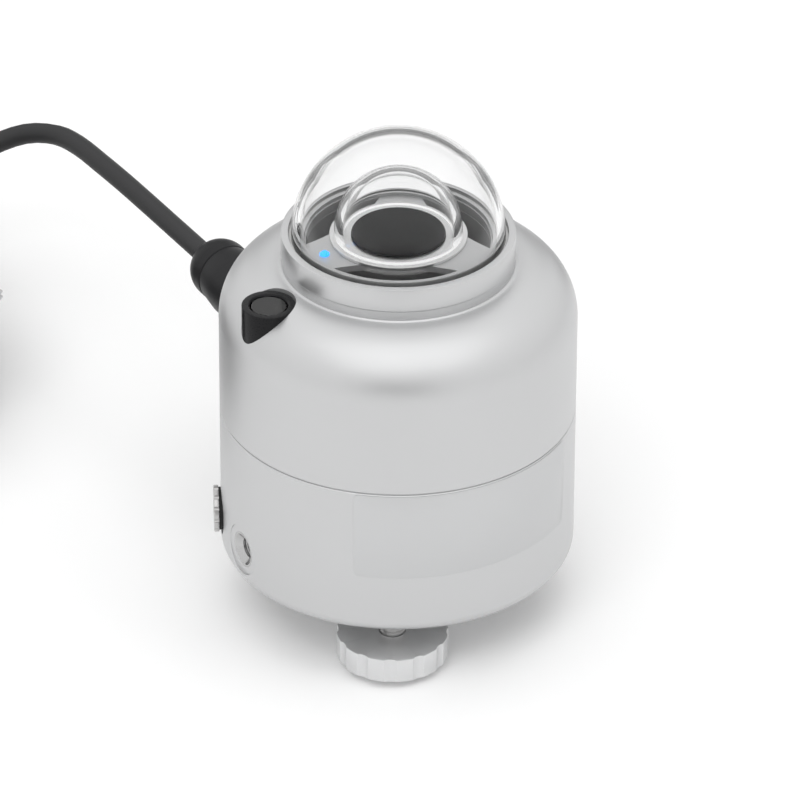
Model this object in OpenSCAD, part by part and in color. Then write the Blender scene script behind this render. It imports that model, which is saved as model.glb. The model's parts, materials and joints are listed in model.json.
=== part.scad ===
// Pyranometer: a round two-part housing under a double glass dome, with a
// levelling foot pair, a bubble level and a plugged-in cable.
// Millimetres, +Z up. The origin is the centre of the housing's underside.
// Azimuths run counterclockwise from +Y, the side that the connector is on.

/* [Housing] */
// Outer radius of the housing
body_r = 42; // [41:0.5:46]
// Height of the lower housing, from its underside to the seam
base_h = 38.5; // [36:0.5:46]
// Round on the bottom edge of the lower housing
base_edge_r = 3.6; // [1:0.2:3.8]
// Straight height of the upper housing, above the seam
upper_side_h = 24; // [23:0.5:32]
// Width of the step from the shoulder in to the neck
shoulder_lip = 1; // [0.6:0.1:2]
// Wall of both housings, beside their cavity
wall = 6.5; // [6:0.25:7]
// Thickness of the lower housing's floor
floor_h = 18; // [17:0.5:18.5]
// How far the neck is set back under the dome collar
neck_step = 0.35; // [0.1:0.05:0.5]
// Height of the neck
neck_h = 2.1; // [1:0.1:4]
// Radius of the bosses that take the housing screws
boss_r = 5.5; // [4.5:0.25:6]

/* [Domes] */
// Outer radius of the outer glass dome
outer_dome_r = 25; // [24:0.1:26]
// Glass thickness of the outer dome
outer_dome_t = 2; // [1.6:0.1:2]
// Outer radius of the inner glass dome
inner_dome_r = 15; // [14:0.25:15.5]
// Glass thickness of the inner dome
inner_dome_t = 2; // [1:0.1:2.5]
// Wall of the collar beside the outer dome's foot
collar_wall = 1.75; // [1.5:0.05:2.2]
// Width of the ledge that the outer dome and the spoked plate stand on
seat_w = 3; // [2.6:0.1:3.2]
// Height of the collar above the neck
collar_h = 5.9; // [5.5:0.1:8]
// Height of the glass seat above the neck
collar_seat_h = 2; // [1.5:0.1:2.4]

/* [Sensor] */
// Distance from the black absorber's edge to the inner dome
absorber_inset = 2; // [1.5:0.25:4]
// How far the silver hub disc stands out past the inner dome
hub_rim = 1.1; // [0.8:0.1:1.6]
// Thickness of the hub disc
hub_t = 0.8; // [0.5:0.1:1.2]
// Width of the plate between the air windows and the plate's rim
window_edge = 0.3; // [0.2:0.1:1.2]
// Thickness of the spoked plate
plate_t = 1.5; // [1:0.1:1.8]

/* [Level] */
// Distance from the dome collar to the bubble level's holder
level_gap = 1.2; // [0.5:0.1:1.5]
// Distance from the holder to the housing's side
level_side = 0.85; // [0.8:0.05:2]
// Height of the holder
level_h = 11.6; // [9:0.2:12]
// Radius of the level's vial, as a share of the holder's
vial_share = 0.696; // [0.6:0.001:0.76]

/* [Feet] */
// Distance of each foot's axis from the housing's side
foot_inset = 12; // [11:0.25:13]
// Radius of a levelling wheel
wheel_r = 13.25; // [11:0.25:14]
// Thickness of a levelling wheel
wheel_t = 6.2; // [4:0.2:7]
// Gap between the underside and a levelling wheel
wheel_gap = 6.4; // [5.6:0.2:8]
// Number of flutes round a wheel
wheel_flutes = 12; // [8:1:16]
// Radius of the foot screws, M6
foot_screw_r = 3; // [2.5:0.1:3.2]
// Radius of the fixed foot
fixed_foot_r = 8; // [6:0.5:10]

/* [Mounts] */
// Distance between the two mounting threads in the underside
mount_spacing = 65; // [60:1:66]
// Radius of a mounting thread's wall, M5 at its core
mount_hole_r = 2.1; // [1.6:0.1:2.5]
// Depth of a mounting thread
mount_depth = 10; // [6:1:12]
// Radius of the side thread's wall, M6 at its core
side_thread_r = 2.5; // [2:0.1:3]
// Height of the side thread and of the side plug above the underside
side_z = 9.6; // [9:0.1:11]

/* [Connector] */
// Metal between the connector's seat and the seam
connector_edge = 0.3; // [0.2:0.1:1]
// Azimuth of the connector
connector_az = 2.25; // [-4:0.25:6]
// Radius of the plug's body
plug_r = 8.3; // [8:0.1:9]
// Radius of the plug's gland cap
cap_r = 7.6; // [7:0.1:7.9]
// Diameter of the cable
cable_d = 5.2; // [5:0.1:5.2]

/* [Fan] */
// Clearance of the square fan frame's corners in their bore
fan_corner_gap = 1.4; // [1.2:0.1:2.6]
// Height of the fan frame
fan_h = 10; // [8:0.5:11]
// Number of fan blades
fan_blades = 7; // [5:1:9]

/* [Hidden] */
$fn = 72;
// Facets of large rounds, of rounded caps and of small beads
fine_sides = 144;
cap_sides = 96;
bead_sides = 24;
hexagon = 6;
// How far a cut runs past the face that it opens
cut = 0.5;
// Radial clearance of a shaft, thread or plug in its own bore
fit = 0.05;
// Clearance between pieces that stay apart
gap = 0.3;

// Radii of the collar, the neck and the shoulder
bead_gap = 0.6;
spigot_wall = 2;
collar_recess_r = outer_dome_r + bead_gap;
collar_r = collar_recess_r + collar_wall;
collar_bore_r = outer_dome_r - seat_w;
spigot_r = collar_bore_r + spigot_wall;
neck_r = collar_r - neck_step;
upper_r = neck_r + shoulder_lip;
shoulder_r = body_r - upper_r;

// Heights
seam_z = base_h;
seam_gap = 0.35;
seam_step = 0.4;
shoulder_z = seam_z + upper_side_h;
top_z = shoulder_z + shoulder_r;
lip_h = 0.4;
lip_step = 0.4;
neck_z = top_z + lip_h + neck_h;
collar_top_z = neck_z + collar_h;
glass_seat_z = neck_z + collar_seat_h;
cavity_r = body_r - wall;

// Housing screws, M4, and their seals
screw_az = [45, 135, 225, 315];
boss_share = 0.27;
screw_rho = cavity_r - boss_share * boss_r;
screw_r = 1.95;
screw_hole_r = 2.2;
screw_head_r = 3.4;
screw_head_h = 4;
screw_head_fit = 0.15;
screw_pocket_h = 14;
screw_reach = 11;
screw_seal_t = 0.6;
screw_key_r = 1.7;
screw_key_h = 2.2;
thread_run_out = 1.5;

// Seal in the seam
seal_w = 2;
seal_h = 1.5;
seal_side = 0.1;
seal_inset = 3.4;
seal_r = body_r - seal_inset;

// Throat under the domes, its ledge and the fan bracket
spigot_h = 9.5;
bracket_t = 1.5;
ledge_w = 1.45;
throat_r = spigot_r + fit;
ledge_z = neck_z - spigot_h - bracket_t;
lower_throat_r = throat_r - ledge_w;
collar_seal_w = 1.2;
collar_seal_h = 0.7;
collar_seal_r = (throat_r + neck_r) / 2;

// Dome collar and the outer dome's seat
collar_edge = 0.35;
bead_t = 0.4;
bead_drop = 1.1;
bead_fit = 0.03;
outer_dome_drop = 0.5;
outer_dome_z = collar_top_z - outer_dome_drop;

// Spoked plate and the air windows
plate_r = outer_dome_r - outer_dome_t - 2 * fit;
plate_rim_w = 1;
plate_drop = 1.2;
plate_z = collar_top_z - plate_drop;
plate_skirt_w = 0.8;
window_r = plate_r - plate_rim_w - window_edge;
window_az = [30, 150, 270];
window_arc_share = 2.593;
window_arc_r_share = 1.991;

// Sensor hub, its stem and nut
stem_wall = 1.45;
absorber_r = inner_dome_r - inner_dome_t - absorber_inset;
hub_r = inner_dome_r + hub_rim;
core_hole_r = absorber_r + fit;
stem_r = core_hole_r + stem_wall;
window_step = 2;
window_inner_r = stem_r + window_step;
stem_h = 7.2;
stem_floor = 1.5;
hub_top_z = plate_z + hub_t;
stem_z = plate_z - stem_h;
hub_edge = 0.25;
absorber_t = 0.5;
absorber_rise = 0.6;
nut_w = 3;
nut_h = 2.5;
lead_hole_r = 2;
inner_dome_z = hub_top_z + hub_t;

// Status light on a spoke
led_az = 90;
led_place_share = 0.5;
led_base_share = 0.19;
led_lens_share = 0.68;
led_room = plate_r - plate_rim_w - hub_r;
led_rho = hub_r + led_place_share * led_room;
led_base_r = led_base_share * led_room;
led_base_h = 0.35;
led_lens_r = led_lens_share * led_base_r;

// Fan, its screws and bearing
fan_side = sqrt(2) * (lower_throat_r - fan_corner_gap);
fan_rim = 0.9;
fan_hole_r = fan_side / 2 - fan_rim;
fan_corner_r = 3;
fan_pitch_share = 0.4;
fan_pitch = fan_pitch_share * fan_side;
fan_screw_r = 1.2;
fan_screw_head_r = 2;
fan_screw_head_h = 1.4;
fan_hub_share = 0.26;
fan_hub_r = fan_hub_share * fan_side;
fan_struts = 3;
fan_strut_w = 2;
fan_strut_h = 1.5;
fan_tip_gap = 0.5;
fan_shaft_r = 0.75;
fan_rotor_gap = 0.7;
fan_blade_t = 0.8;
fan_blade_tilt = 38;
fan_z = ledge_z - fan_h;
fan_rotor_z = fan_z + fan_strut_h + fan_rotor_gap;
fan_rotor_h = fan_h - fan_strut_h - 2 * fan_rotor_gap;

// Circuit board
board_inset = 0.9;
board_r = screw_rho - boss_r - board_inset;
board_t = 1.6;
standoff_h = 24;
standoff_r = 2.6;
board_z = floor_h + standoff_h;
board_screw_rho_share = 0.86;
board_screw_rho = board_screw_rho_share * board_r;
board_screw_az = [20, 110, 200, 290];
board_screw_r = 1.2;
board_screw_head_r = 2.2;
board_screw_head_h = 1.3;
board_screw_reach = 4;
// Places and sizes of the parts on the board, as shares of its radius:
// x, y, width, depth, height
board_part_shares = [
    [-0.20, 0.16, 0.36, 0.36, 0.06],
    [0.28, 0.30, 0.20, 0.20, 0.05],
    [0.26, -0.18, 0.30, 0.16, 0.16],
    [-0.24, -0.34, 0.20, 0.20, 0.12],
    [-0.56, -0.06, 0.14, 0.26, 0.10],
    [0.02, 0.60, 0.24, 0.14, 0.14],
];

// Leads inside the housing
lead_r = 0.9;
lead_sides = 8;
lead_az = 270;
lead_rho = (fan_side / 2 + lower_throat_r) / 2;
fan_lead_az = 180;
// Courses of the sensor's and the fan's leads, as shares of their reach outwards
sensor_lead_shares = [0, 0, 0.12, 0.45, 0.82, 0.97, 1, 1, 1, 1];
fan_lead_shares = [1, 1, 1.04, 1.1, 1.1];
thin_lead_r = 0.45;
socket_lead_reach = 9;
socket_lead_fan_share = 0.7;
// Course of the socket's leads, as shares of their reach inwards and upwards
socket_lead_shares = [
    [0, 0], [0.2, 0], [0.5, 0.06], [0.8, 0.25], [0.95, 0.5], [1, 0.75], [1, 1],
];

// Bubble level
level_az = 93;
level_r = (body_r - collar_r - level_gap - level_side) / 2;
level_rho = collar_r + level_gap + level_r;
vial_r = vial_share * level_r;
level_drop = 1;
level_top_z = top_z - level_drop;
level_z = level_top_z - level_h;
level_web = 4;
cavity_top_z = level_z - level_web;
vial_depth = 6.4;
vial_drop = 0.4;
lens_t = 1.3;
dial_t = 0.5;
bubble_share = 0.414;
bubble_depth_share = 0.389;
bubble_r = bubble_share * vial_r;
bubble_depth = bubble_depth_share * bubble_r;
level_edge = 0.3;
lens_bottom_z = level_top_z - vial_drop - lens_t;
dial_z = level_top_z - vial_depth;

// Threaded insert and side plug
side_az = 91;
insert_r = 4.25;
insert_l = 11.5;
insert_flare_r = 3.9;
spot_face_r = 6.2;
spot_face_depth = 0.5;
plug_az = 65;
side_plug_r = 3.95;
side_plug_l = 7.4;
side_plug_flange_r = 5.6;
side_plug_flange_t = 1.2;
side_plug_notches = 12;
side_plug_notch_r = 0.55;
side_plug_key_r = 2.3;
side_plug_key_depth = 2;
plug_seat_depth = 0.6;
plug_seal_r = 5.1;
plug_seal_t = 1.1;
plug_seat_rho = body_r - plug_seat_depth;

// Bare label
label_az = 178.5;
label_half_angle = 40.6;
label_t = 0.16;
label_glue = 0.05;
label_low_z = 15.95;
label_top_gap = 0.3;
label_corner_r = 1.5;

// Feet
foot_rho = body_r - foot_inset;
front_foot_az = 150;
back_foot_az = 30;
fixed_foot_az = 270;
foot_bore_depth = 16;
foot_screw_top = 10;
wheel_z = -wheel_gap - wheel_t;
wheel_edge = 0.5;
flute_cut_r = 2.8;
flute_depth = 0.55;
pad_r = 5.5;
pad_t = 1.6;
pad_pin_r = 1.5;
pad_pin_h = 4;
pad_edge = 0.4;
floor_z = wheel_z - gap - pad_t;
fixed_pad_t = 1.5;
fixed_pad_inset = 0.8;
fixed_pad_sunk = 0.6;
fixed_foot_edge = 0.6;
fixed_stud_l = 10;

// Panel socket, M12, and its nut, seal and pins
socket_seat_depth = 1;
socket_seat_rho = body_r - socket_seat_depth;
socket_seat_r = 8.2;
connector_z = base_h - socket_seat_r - connector_edge;
socket_flange_r = 7.9;
socket_flange_t = 2.6;
socket_barrel_r = 5.95;
socket_inner_r = 4.6;
socket_nose_l = 7;
socket_web_t = 1.6;
socket_wall = 4.5;
socket_nut_r = 8;
socket_nut_t = 3;
socket_nut_play = 0.35;
socket_tail = 2;
socket_seal_r = 7.3;
socket_seal_w = 1;
socket_seal_t = 0.7;
pin_r = 0.5;
pin_ring_r = 2.5;
pin_angles = [0, 72, 144, 216, 288];
pin_back = 2;
pin_front_gap = 1.2;
inner_face_rho = socket_seat_rho - socket_wall;
socket_front_rho = socket_seat_rho + socket_flange_t;
socket_end_rho = socket_front_rho + socket_nose_l;

// Plug on the cable
ring_r = 8.5;
ring_grooves = 20;
ring_groove_r = 0.45;
ring_start_gap = 0.4;
ring_thread_l = 6.8;
ring_l = 15;
ring_edge = 0.5;
plug_neck_r = 6.5;
plug_neck_gap = 1;
plug_neck_l = 7.6;
plug_barrel_l = 18;
plug_cone_l = 6.6;
plug_thread_r = 5.9;
plug_thread_l = 2.4;
plug_cavity_r = 5;
plug_cavity_gap = 2;
plug_rear_hole_r = 3.4;
insert_core_r = 4.5;
insert_core_l = 12;
pin_play = 0.06;
// Course of the plug's wires: distance from the axis, as a share of the pins',
// and place along it
plug_wire_shares = [[1, 0], [1, 0.2], [0.66, 0.8], [0.66, 1]];
ring_rho = socket_front_rho + ring_start_gap;
neck_rho = socket_end_rho + plug_neck_gap;
barrel_rho = neck_rho + plug_neck_l;
cone_rho = barrel_rho + plug_barrel_l;
cap_rho = cone_rho + plug_cone_l;
parting_gap = 0.1;
cap_side_l = 2.6;
cap_round_share = 0.88;
cap_l = cap_side_l + cap_round_share * cap_r;
cable_exit_rho = cap_rho + parting_gap + cap_l;
gland_seal_t = 0.85;
gland_seal_l = 6;
gland_lip_l = 1;

// Cable: the free run's route, then the coil
cable_r = cable_d / 2;
run_sides = 10;
run_hidden_l = 12;
run_start_rho = cable_exit_rho - run_hidden_l;
tie_t = 0.8;
tie_w = 9;
tie_play = 0.2;
coil_centre = [-88, 143.85];
coil_pitch = 5.7;
coil_layers = 6;
coil_layer_turns = 3.5;
coil_climb_turns = 0.5;
coil_last_turns = 0.5;
coil_inner_r = 21;
coil_steps = 24;
coil_sides = 6;
coil_start_angle = 90;
tie_angles = [20, 215];
coil_outer_r = coil_inner_r + coil_pitch * coil_layer_turns;
coil_z = floor_z + tie_t + tie_play + cable_r;
coil_layer = coil_layer_turns + coil_climb_turns;
coil_turns = coil_layers * coil_layer + coil_last_turns;
run_end = [coil_centre[0] + cable_d, coil_centre[1] + coil_outer_r, coil_z];
run_route = [
    [-4.5, 112, 29.9], [-5.0, 124, 29.8], [-5.5, 136, 29.6], [-6.1, 148, 29.2],
    [-6.8, 160, 28.6], [-8.6, 169.5, 27.4], [-13.6, 177.5, 25.0], [-21.5, 182.5, 20.8],
    [-31.5, 184.6, 15.6], [-42.2, 185.1, 8.6], [-52.2, 185.1, 1.6], [-61.3, 185.0, -4.2],
    [-69.5, 184.9, -8.3],
];

// End of the cable, on top of the coil
end_sleeve_r = 2.7;
end_sleeve_l = 14;
end_wire_r = 0.65;
end_wire_bend = 25;
end_wire_angle = 35;
end_ferrule_r = 0.5;
end_ferrule_angle = 8;
// Places of the four wires in the sleeve's end, as shares of its radius
end_wire_shares = [[-0.28, -0.5], [0.28, -0.5], [-0.28, 0.04], [0.28, 0.04]];

// Places its children at an azimuth, a distance from the axis and a height
module at_azimuth(az, rho, z) {
    rotate([0, 0, az]) translate([0, rho, z]) children();
}

// The same, with the children's +Z turned outwards
module facing_out(az, rho, z) {
    at_azimuth(az, rho, z) rotate([-90, 0, 0]) children();
}

module on_connector(rho) {
    facing_out(connector_az, rho, connector_z) children();
}

module disc(r, low, high) {
    translate([0, 0, low]) cylinder(r = r, h = high - low);
}

module ring(outer, inner, low, high) {
    difference() {
        disc(outer, low, high);
        disc(inner, low - cut, high + cut);
    }
}

// A disc whose top or bottom edge is chamfered
module edged_disc(r, low, high, low_edge, high_edge) {
    rotate_extrude() polygon([
        [0, low], [r - low_edge, low], [r, low + low_edge],
        [r, high - high_edge], [r - high_edge, high], [0, high],
    ]);
}

// A hollow half ball on a short skirt
module dome(r, t, centre_z, foot_z) {
    rotate_extrude() {
        translate([0, centre_z]) intersection() {
            difference() {
                circle(r = r, $fn = fine_sides);
                circle(r = r - t, $fn = fine_sides);
            }
            square([r, r]);
        }
        translate([r - t, foot_z]) square([t, centre_z - foot_z]);
    }
}

// Points of a path as the rings of a tube, each ring square to the path
function unit(v) = v / norm(v);
function heading(p, i) = unit(p[min(i + 1, len(p) - 1)] - p[max(i - 1, 0)]);
function across(t) = unit(cross(t, abs(t[2]) < 0.9 ? [0, 0, 1] : [1, 0, 0]));
function ring_at(c, t, r, sides) = let (a = across(t), b = cross(a, t))
    [for (k = [0 : sides - 1]) let (w = 360 * k / sides) c + r * (cos(w) * a + sin(w) * b)];

module tube(path, r, sides) {
    n = len(path);
    rings = [for (i = [0 : n - 1]) ring_at(path[i], heading(path, i), r, sides)];
    points = concat([for (one = rings) each one], [path[0], path[n - 1]]);
    sides_of = [for (i = [0 : n - 2], k = [0 : sides - 1])
        let (m = (k + 1) % sides, low = i * sides, high = low + sides)
        each [[low + k, high + k, high + m], [low + k, high + m, low + m]]];
    first = [for (k = [0 : sides - 1]) [n * sides, k, (k + 1) % sides]];
    last_ring = (n - 1) * sides;
    last = [for (k = [0 : sides - 1])
        [n * sides + 1, last_ring + (k + 1) % sides, last_ring + k]];
    polyhedron(points = points, faces = concat(sides_of, first, last));
}

// Housing

module base_outline() {
    square([body_r - base_edge_r, base_h]);
    translate([0, base_edge_r]) square([body_r, base_h - base_edge_r]);
    translate([body_r - base_edge_r, base_edge_r]) circle(r = base_edge_r);
}

module cavity(low, high) {
    difference() {
        disc(cavity_r, low, high);
        for (az = screw_az) at_azimuth(az, screw_rho, 0)
            disc(boss_r, low - cut, high + cut);
    }
}

module base() {
    color("#c4c4c4") difference() {
        rotate_extrude() base_outline();
        cavity(floor_h, base_h + cut);
        for (az = screw_az) at_azimuth(az, screw_rho, 0) {
            disc(screw_hole_r, -cut, base_h + cut);
            disc(screw_head_r + screw_head_fit, -cut, screw_pocket_h);
        }
        ring(seal_r + seal_w / 2 + seal_side, seal_r - seal_w / 2 - seal_side,
             seam_z - seal_h, seam_z + cut);
        on_connector(socket_seat_rho) disc(socket_seat_r, 0, body_r);
        on_connector(inner_face_rho) disc(socket_nut_r + socket_nut_play, -wall, 0);
        on_connector(inner_face_rho)
            disc(socket_barrel_r + fit, -cut, socket_wall + cut);
        facing_out(side_az, body_r - spot_face_depth, side_z) {
            disc(spot_face_r, 0, body_r);
            disc(insert_r + fit, -insert_l, cut);
            disc(side_thread_r, -insert_l - thread_run_out, 0);
        }
        facing_out(plug_az, plug_seat_rho, side_z) {
            disc(spot_face_r, 0, body_r);
            disc(side_plug_r + fit, -side_plug_l - thread_run_out, cut);
        }
        for (az = [front_foot_az, back_foot_az, fixed_foot_az])
            at_azimuth(az, foot_rho, 0)
                disc(foot_screw_r + fit, -cut, foot_bore_depth);
        for (side = [-1, 1]) translate([0, side * mount_spacing / 2, 0])
            disc(mount_hole_r, -cut, mount_depth);
    }
}

module upper_body_outline() {
    translate([0, seam_z]) {
        square([body_r, upper_side_h]);
        square([upper_r, upper_side_h + shoulder_r]);
        translate([upper_r, upper_side_h]) circle(r = shoulder_r, $fn = fine_sides);
    }
    translate([0, top_z - lip_h]) square([upper_r - lip_step, 2 * lip_h]);
    translate([0, top_z]) square([neck_r, neck_z - top_z]);
}

module upper_body() {
    color("#cdcdcd") difference() {
        rotate_extrude() upper_body_outline();
        cavity(seam_z - cut, cavity_top_z);
        disc(lower_throat_r, cavity_top_z - cut, ledge_z + cut);
        disc(throat_r, ledge_z, neck_z + cut);
        ring(body_r + cut, body_r - seam_step, seam_z - cut, seam_z + seam_gap);
        ring(collar_seal_r + collar_seal_w / 2, collar_seal_r - collar_seal_w / 2,
             neck_z - collar_seal_h, neck_z + cut);
        for (az = screw_az) at_azimuth(az, screw_rho, 0)
            disc(screw_r + fit, seam_z - cut, seam_z + screw_reach + thread_run_out);
        at_azimuth(level_az, level_rho, 0)
            disc(level_r + fit, level_z, top_z + cut);
    }
}

module body_seal() {
    color("#202020") translate([0, 0, seam_z - seal_h])
        rotate_extrude() translate([seal_r, seal_h / 2]) {
            square([seal_w - seal_h, seal_h], center = true);
            for (side = [-1, 1]) translate([side * (seal_w - seal_h) / 2, 0])
                circle(d = seal_h, $fn = bead_sides);
        }
}

module screw_seals() {
    color("#303030") for (az = screw_az) at_azimuth(az, screw_rho, 0)
        ring(screw_head_r, screw_r + fit,
             screw_pocket_h - screw_seal_t, screw_pocket_h);
}

module body_screws() {
    head_top = screw_pocket_h - screw_seal_t;
    color("#b8b8b8") for (az = screw_az) at_azimuth(az, screw_rho, 0)
        difference() {
            union() {
                edged_disc(screw_head_r, head_top - screw_head_h, head_top,
                           wheel_edge, 0);
                disc(screw_r, head_top, seam_z + screw_reach);
            }
            translate([0, 0, head_top - screw_head_h - cut])
                cylinder(r = screw_key_r, h = screw_key_h + cut, $fn = hexagon);
        }
}

module thread_insert() {
    color("#e0e0e0") facing_out(side_az, body_r - spot_face_depth, side_z)
        difference() {
            disc(insert_r, -insert_l, 0);
            disc(side_thread_r, -insert_l - cut, cut);
            translate([0, 0, side_thread_r - insert_flare_r])
                cylinder(r1 = side_thread_r, r2 = insert_flare_r + cut,
                         h = insert_flare_r - side_thread_r + cut);
        }
}

module label() {
    label_w = 2 * body_r * sin(label_half_angle);
    label_h = seam_z - label_top_gap - label_low_z;
    color("#dadada") intersection() {
        ring(body_r + label_t, body_r + label_glue, 0, base_h);
        at_azimuth(label_az, body_r / 2, label_low_z + label_h / 2)
            rotate([-90, 0, 0]) linear_extrude(height = body_r) {
                square([label_w - 2 * label_corner_r, label_h], center = true);
                square([label_w, label_h - 2 * label_corner_r], center = true);
                for (x = [-1, 1], y = [-1, 1])
                    translate([x * (label_w / 2 - label_corner_r),
                               y * (label_h / 2 - label_corner_r)])
                        circle(r = label_corner_r, $fn = bead_sides);
            }
    }
}

module side_plug() {
    flange_z = plug_seal_t;
    top = flange_z + side_plug_flange_t;
    color("#a8a8a8") facing_out(plug_az, plug_seat_rho, side_z) difference() {
        union() {
            disc(side_plug_r, -side_plug_l, flange_z + cut);
            edged_disc(side_plug_flange_r, flange_z, top, 0, collar_edge);
        }
        for (k = [0 : side_plug_notches - 1])
            rotate([0, 0, 360 * k / side_plug_notches])
                translate([side_plug_flange_r, 0, 0])
                    disc(side_plug_notch_r, 0, top + cut);
        translate([0, 0, top - side_plug_key_depth])
            cylinder(r = side_plug_key_r, h = side_plug_key_depth + cut, $fn = hexagon);
    }
}

module side_plug_seal() {
    color("#1c1c1c") facing_out(plug_az, plug_seat_rho, side_z)
        ring(plug_seal_r, side_plug_r + fit, 0, plug_seal_t);
}

// Domes and sensor

module dome_collar() {
    color("#c0c0c0") difference() {
        union() {
            edged_disc(collar_r, neck_z, collar_top_z, collar_edge, collar_edge);
            disc(spigot_r, neck_z - spigot_h, neck_z + cut);
        }
        disc(collar_bore_r, neck_z - spigot_h - cut, collar_top_z + cut);
        disc(collar_recess_r, glass_seat_z, collar_top_z + cut);
    }
}

module collar_seal() {
    color("#202020") ring(
        collar_seal_r + collar_seal_w / 2 - bead_fit,
        collar_seal_r - collar_seal_w / 2 + bead_fit,
        neck_z - collar_seal_h, neck_z);
}

module outer_dome() {
    color("#dfe8ee", 0.35)
        dome(outer_dome_r, outer_dome_t, outer_dome_z, glass_seat_z + bead_t);
}

module dome_seal() {
    color("#262626") difference() {
        disc(collar_recess_r - bead_fit, glass_seat_z, collar_top_z - bead_drop);
        disc(outer_dome_r + bead_fit, glass_seat_z + bead_t, collar_top_z);
        disc(plate_r + 2 * bead_fit, glass_seat_z - cut, collar_top_z);
    }
}

module inner_dome() {
    color("#dfe8ee", 0.35)
        dome(inner_dome_r, inner_dome_t, inner_dome_z, hub_top_z);
}

// One air window: the lens between the rim and a wide arc round a point outside
module air_window() {
    intersection() {
        circle(r = window_r);
        translate([0, window_arc_share * window_r])
            circle(r = window_arc_r_share * window_r, $fn = fine_sides);
    }
}

module spoke_plate() {
    color("#b4b4b4") difference() {
        union() {
            disc(plate_r, plate_z - plate_t, plate_z);
            ring(plate_r, plate_r - plate_rim_w,
                 plate_z - plate_t, collar_top_z - fit);
            ring(plate_r, plate_r - plate_skirt_w,
                 glass_seat_z, plate_z - plate_t + cut);
        }
        disc(stem_r + fit, plate_z - plate_t - cut, plate_z + cut);
        for (az = window_az) rotate([0, 0, az])
            translate([0, 0, plate_z - plate_t - cut])
                linear_extrude(height = plate_t + 2 * cut) difference() {
                    air_window();
                    circle(r = window_inner_r);
                }
    }
}

module sensor_hub() {
    color("#e2e2e2") difference() {
        union() {
            edged_disc(hub_r, plate_z, hub_top_z, 0, hub_edge);
            disc(stem_r, stem_z, plate_z + hub_edge);
        }
        disc(core_hole_r, stem_z + stem_floor, hub_top_z + cut);
        disc(lead_hole_r, stem_z - cut, hub_top_z);
    }
}

module absorber() {
    color("#202020") edged_disc(
        absorber_r, hub_top_z - absorber_t, hub_top_z + absorber_rise, 0, hub_edge);
}

module thermopile() {
    color("#8f8f86")
        disc(absorber_r, stem_z + stem_floor, hub_top_z - absorber_t);
}

module hub_nut() {
    color("#9c9c9c") ring(stem_r + nut_w, stem_r + fit,
                          plate_z - plate_t - nut_h, plate_z - plate_t);
}

module status_led() {
    color("#1f6fff") at_azimuth(led_az, led_rho, plate_z) {
        disc(led_base_r, 0, led_base_h);
        intersection() {
            translate([0, 0, led_base_h]) sphere(r = led_lens_r);
            disc(led_base_r, 0, led_base_h + led_lens_r);
        }
    }
}

// Fan

module fan_corners() {
    for (x = [-1, 1], y = [-1, 1]) translate([x * fan_pitch, y * fan_pitch, 0])
        children();
}

module fan_outline() {
    inner = fan_side - 2 * fan_corner_r;
    square([fan_side, inner], center = true);
    square([inner, fan_side], center = true);
    for (x = [-1, 1], y = [-1, 1]) translate([x * inner / 2, y * inner / 2])
        circle(r = fan_corner_r, $fn = bead_sides);
}

module fan_bracket() {
    color("#a6a6a6") difference() {
        disc(spigot_r, ledge_z, ledge_z + bracket_t);
        disc(fan_hole_r, ledge_z - cut, ledge_z + bracket_t + cut);
        fan_corners() disc(fan_screw_r + fit, ledge_z - cut, ledge_z + bracket_t + cut);
        at_azimuth(lead_az, lead_rho, 0)
            disc(lead_hole_r, ledge_z - cut, ledge_z + bracket_t + cut);
    }
}

module fan_frame() {
    color("#2a2a2a") difference() {
        union() {
            difference() {
                translate([0, 0, fan_z]) linear_extrude(height = fan_h) fan_outline();
                disc(fan_hole_r, fan_z - cut, ledge_z + cut);
            }
            disc(fan_hub_r, fan_z, fan_z + fan_strut_h);
            for (k = [0 : fan_struts - 1]) rotate([0, 0, 360 * k / fan_struts])
                translate([-fan_strut_w / 2, 0, fan_z])
                    cube([fan_strut_w, fan_hole_r + cut, fan_strut_h]);
        }
        disc(fan_shaft_r + fit, fan_z - cut, fan_z + fan_strut_h + cut);
        fan_corners() disc(fan_screw_r + fit, fan_z - cut, ledge_z + cut);
    }
}

module fan_rotor() {
    tip_r = fan_hole_r - fan_tip_gap;
    top = fan_rotor_z + fan_rotor_h;
    color("#3a3a3a") {
        disc(fan_hub_r, fan_rotor_z, top);
        disc(fan_shaft_r, fan_z + fan_rotor_gap, fan_rotor_z + cut);
        intersection() {
            ring(tip_r, fan_hub_r - cut, fan_rotor_z, top);
            for (k = [0 : fan_blades - 1]) rotate([0, 0, 360 * k / fan_blades])
                translate([0, tip_r / 2, (fan_rotor_z + top) / 2])
                    rotate([0, fan_blade_tilt, 0])
                        cube([fan_blade_t, tip_r + cut, 2 * fan_rotor_h], center = true);
        }
    }
}

module fan_screws() {
    top = ledge_z + bracket_t;
    color("#b8b8b8") fan_corners() {
        disc(fan_screw_head_r, top, top + fan_screw_head_h);
        disc(fan_screw_r, fan_z + cut, top + cut);
    }
}

// Electronics

module board_places() {
    for (az = board_screw_az) at_azimuth(az, board_screw_rho, 0) children();
}

module circuit_board() {
    color("#1d6b3a") difference() {
        disc(board_r, board_z, board_z + board_t);
        board_places() disc(board_screw_r + fit, board_z - cut, board_z + board_t + cut);
    }
}

module board_parts() {
    color("#222222") for (s = board_part_shares)
        translate([s[0] * board_r, s[1] * board_r, board_z + board_t])
            translate([-s[2] * board_r / 2, -s[3] * board_r / 2, 0])
                cube([s[2] * board_r, s[3] * board_r, s[4] * board_r]);
}

module board_standoffs() {
    color("#c8b060") board_places() difference() {
        translate([0, 0, floor_h])
            cylinder(r = standoff_r, h = standoff_h, $fn = hexagon);
        disc(board_screw_r + fit, board_z - board_screw_reach - cut, board_z + cut);
    }
}

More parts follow.
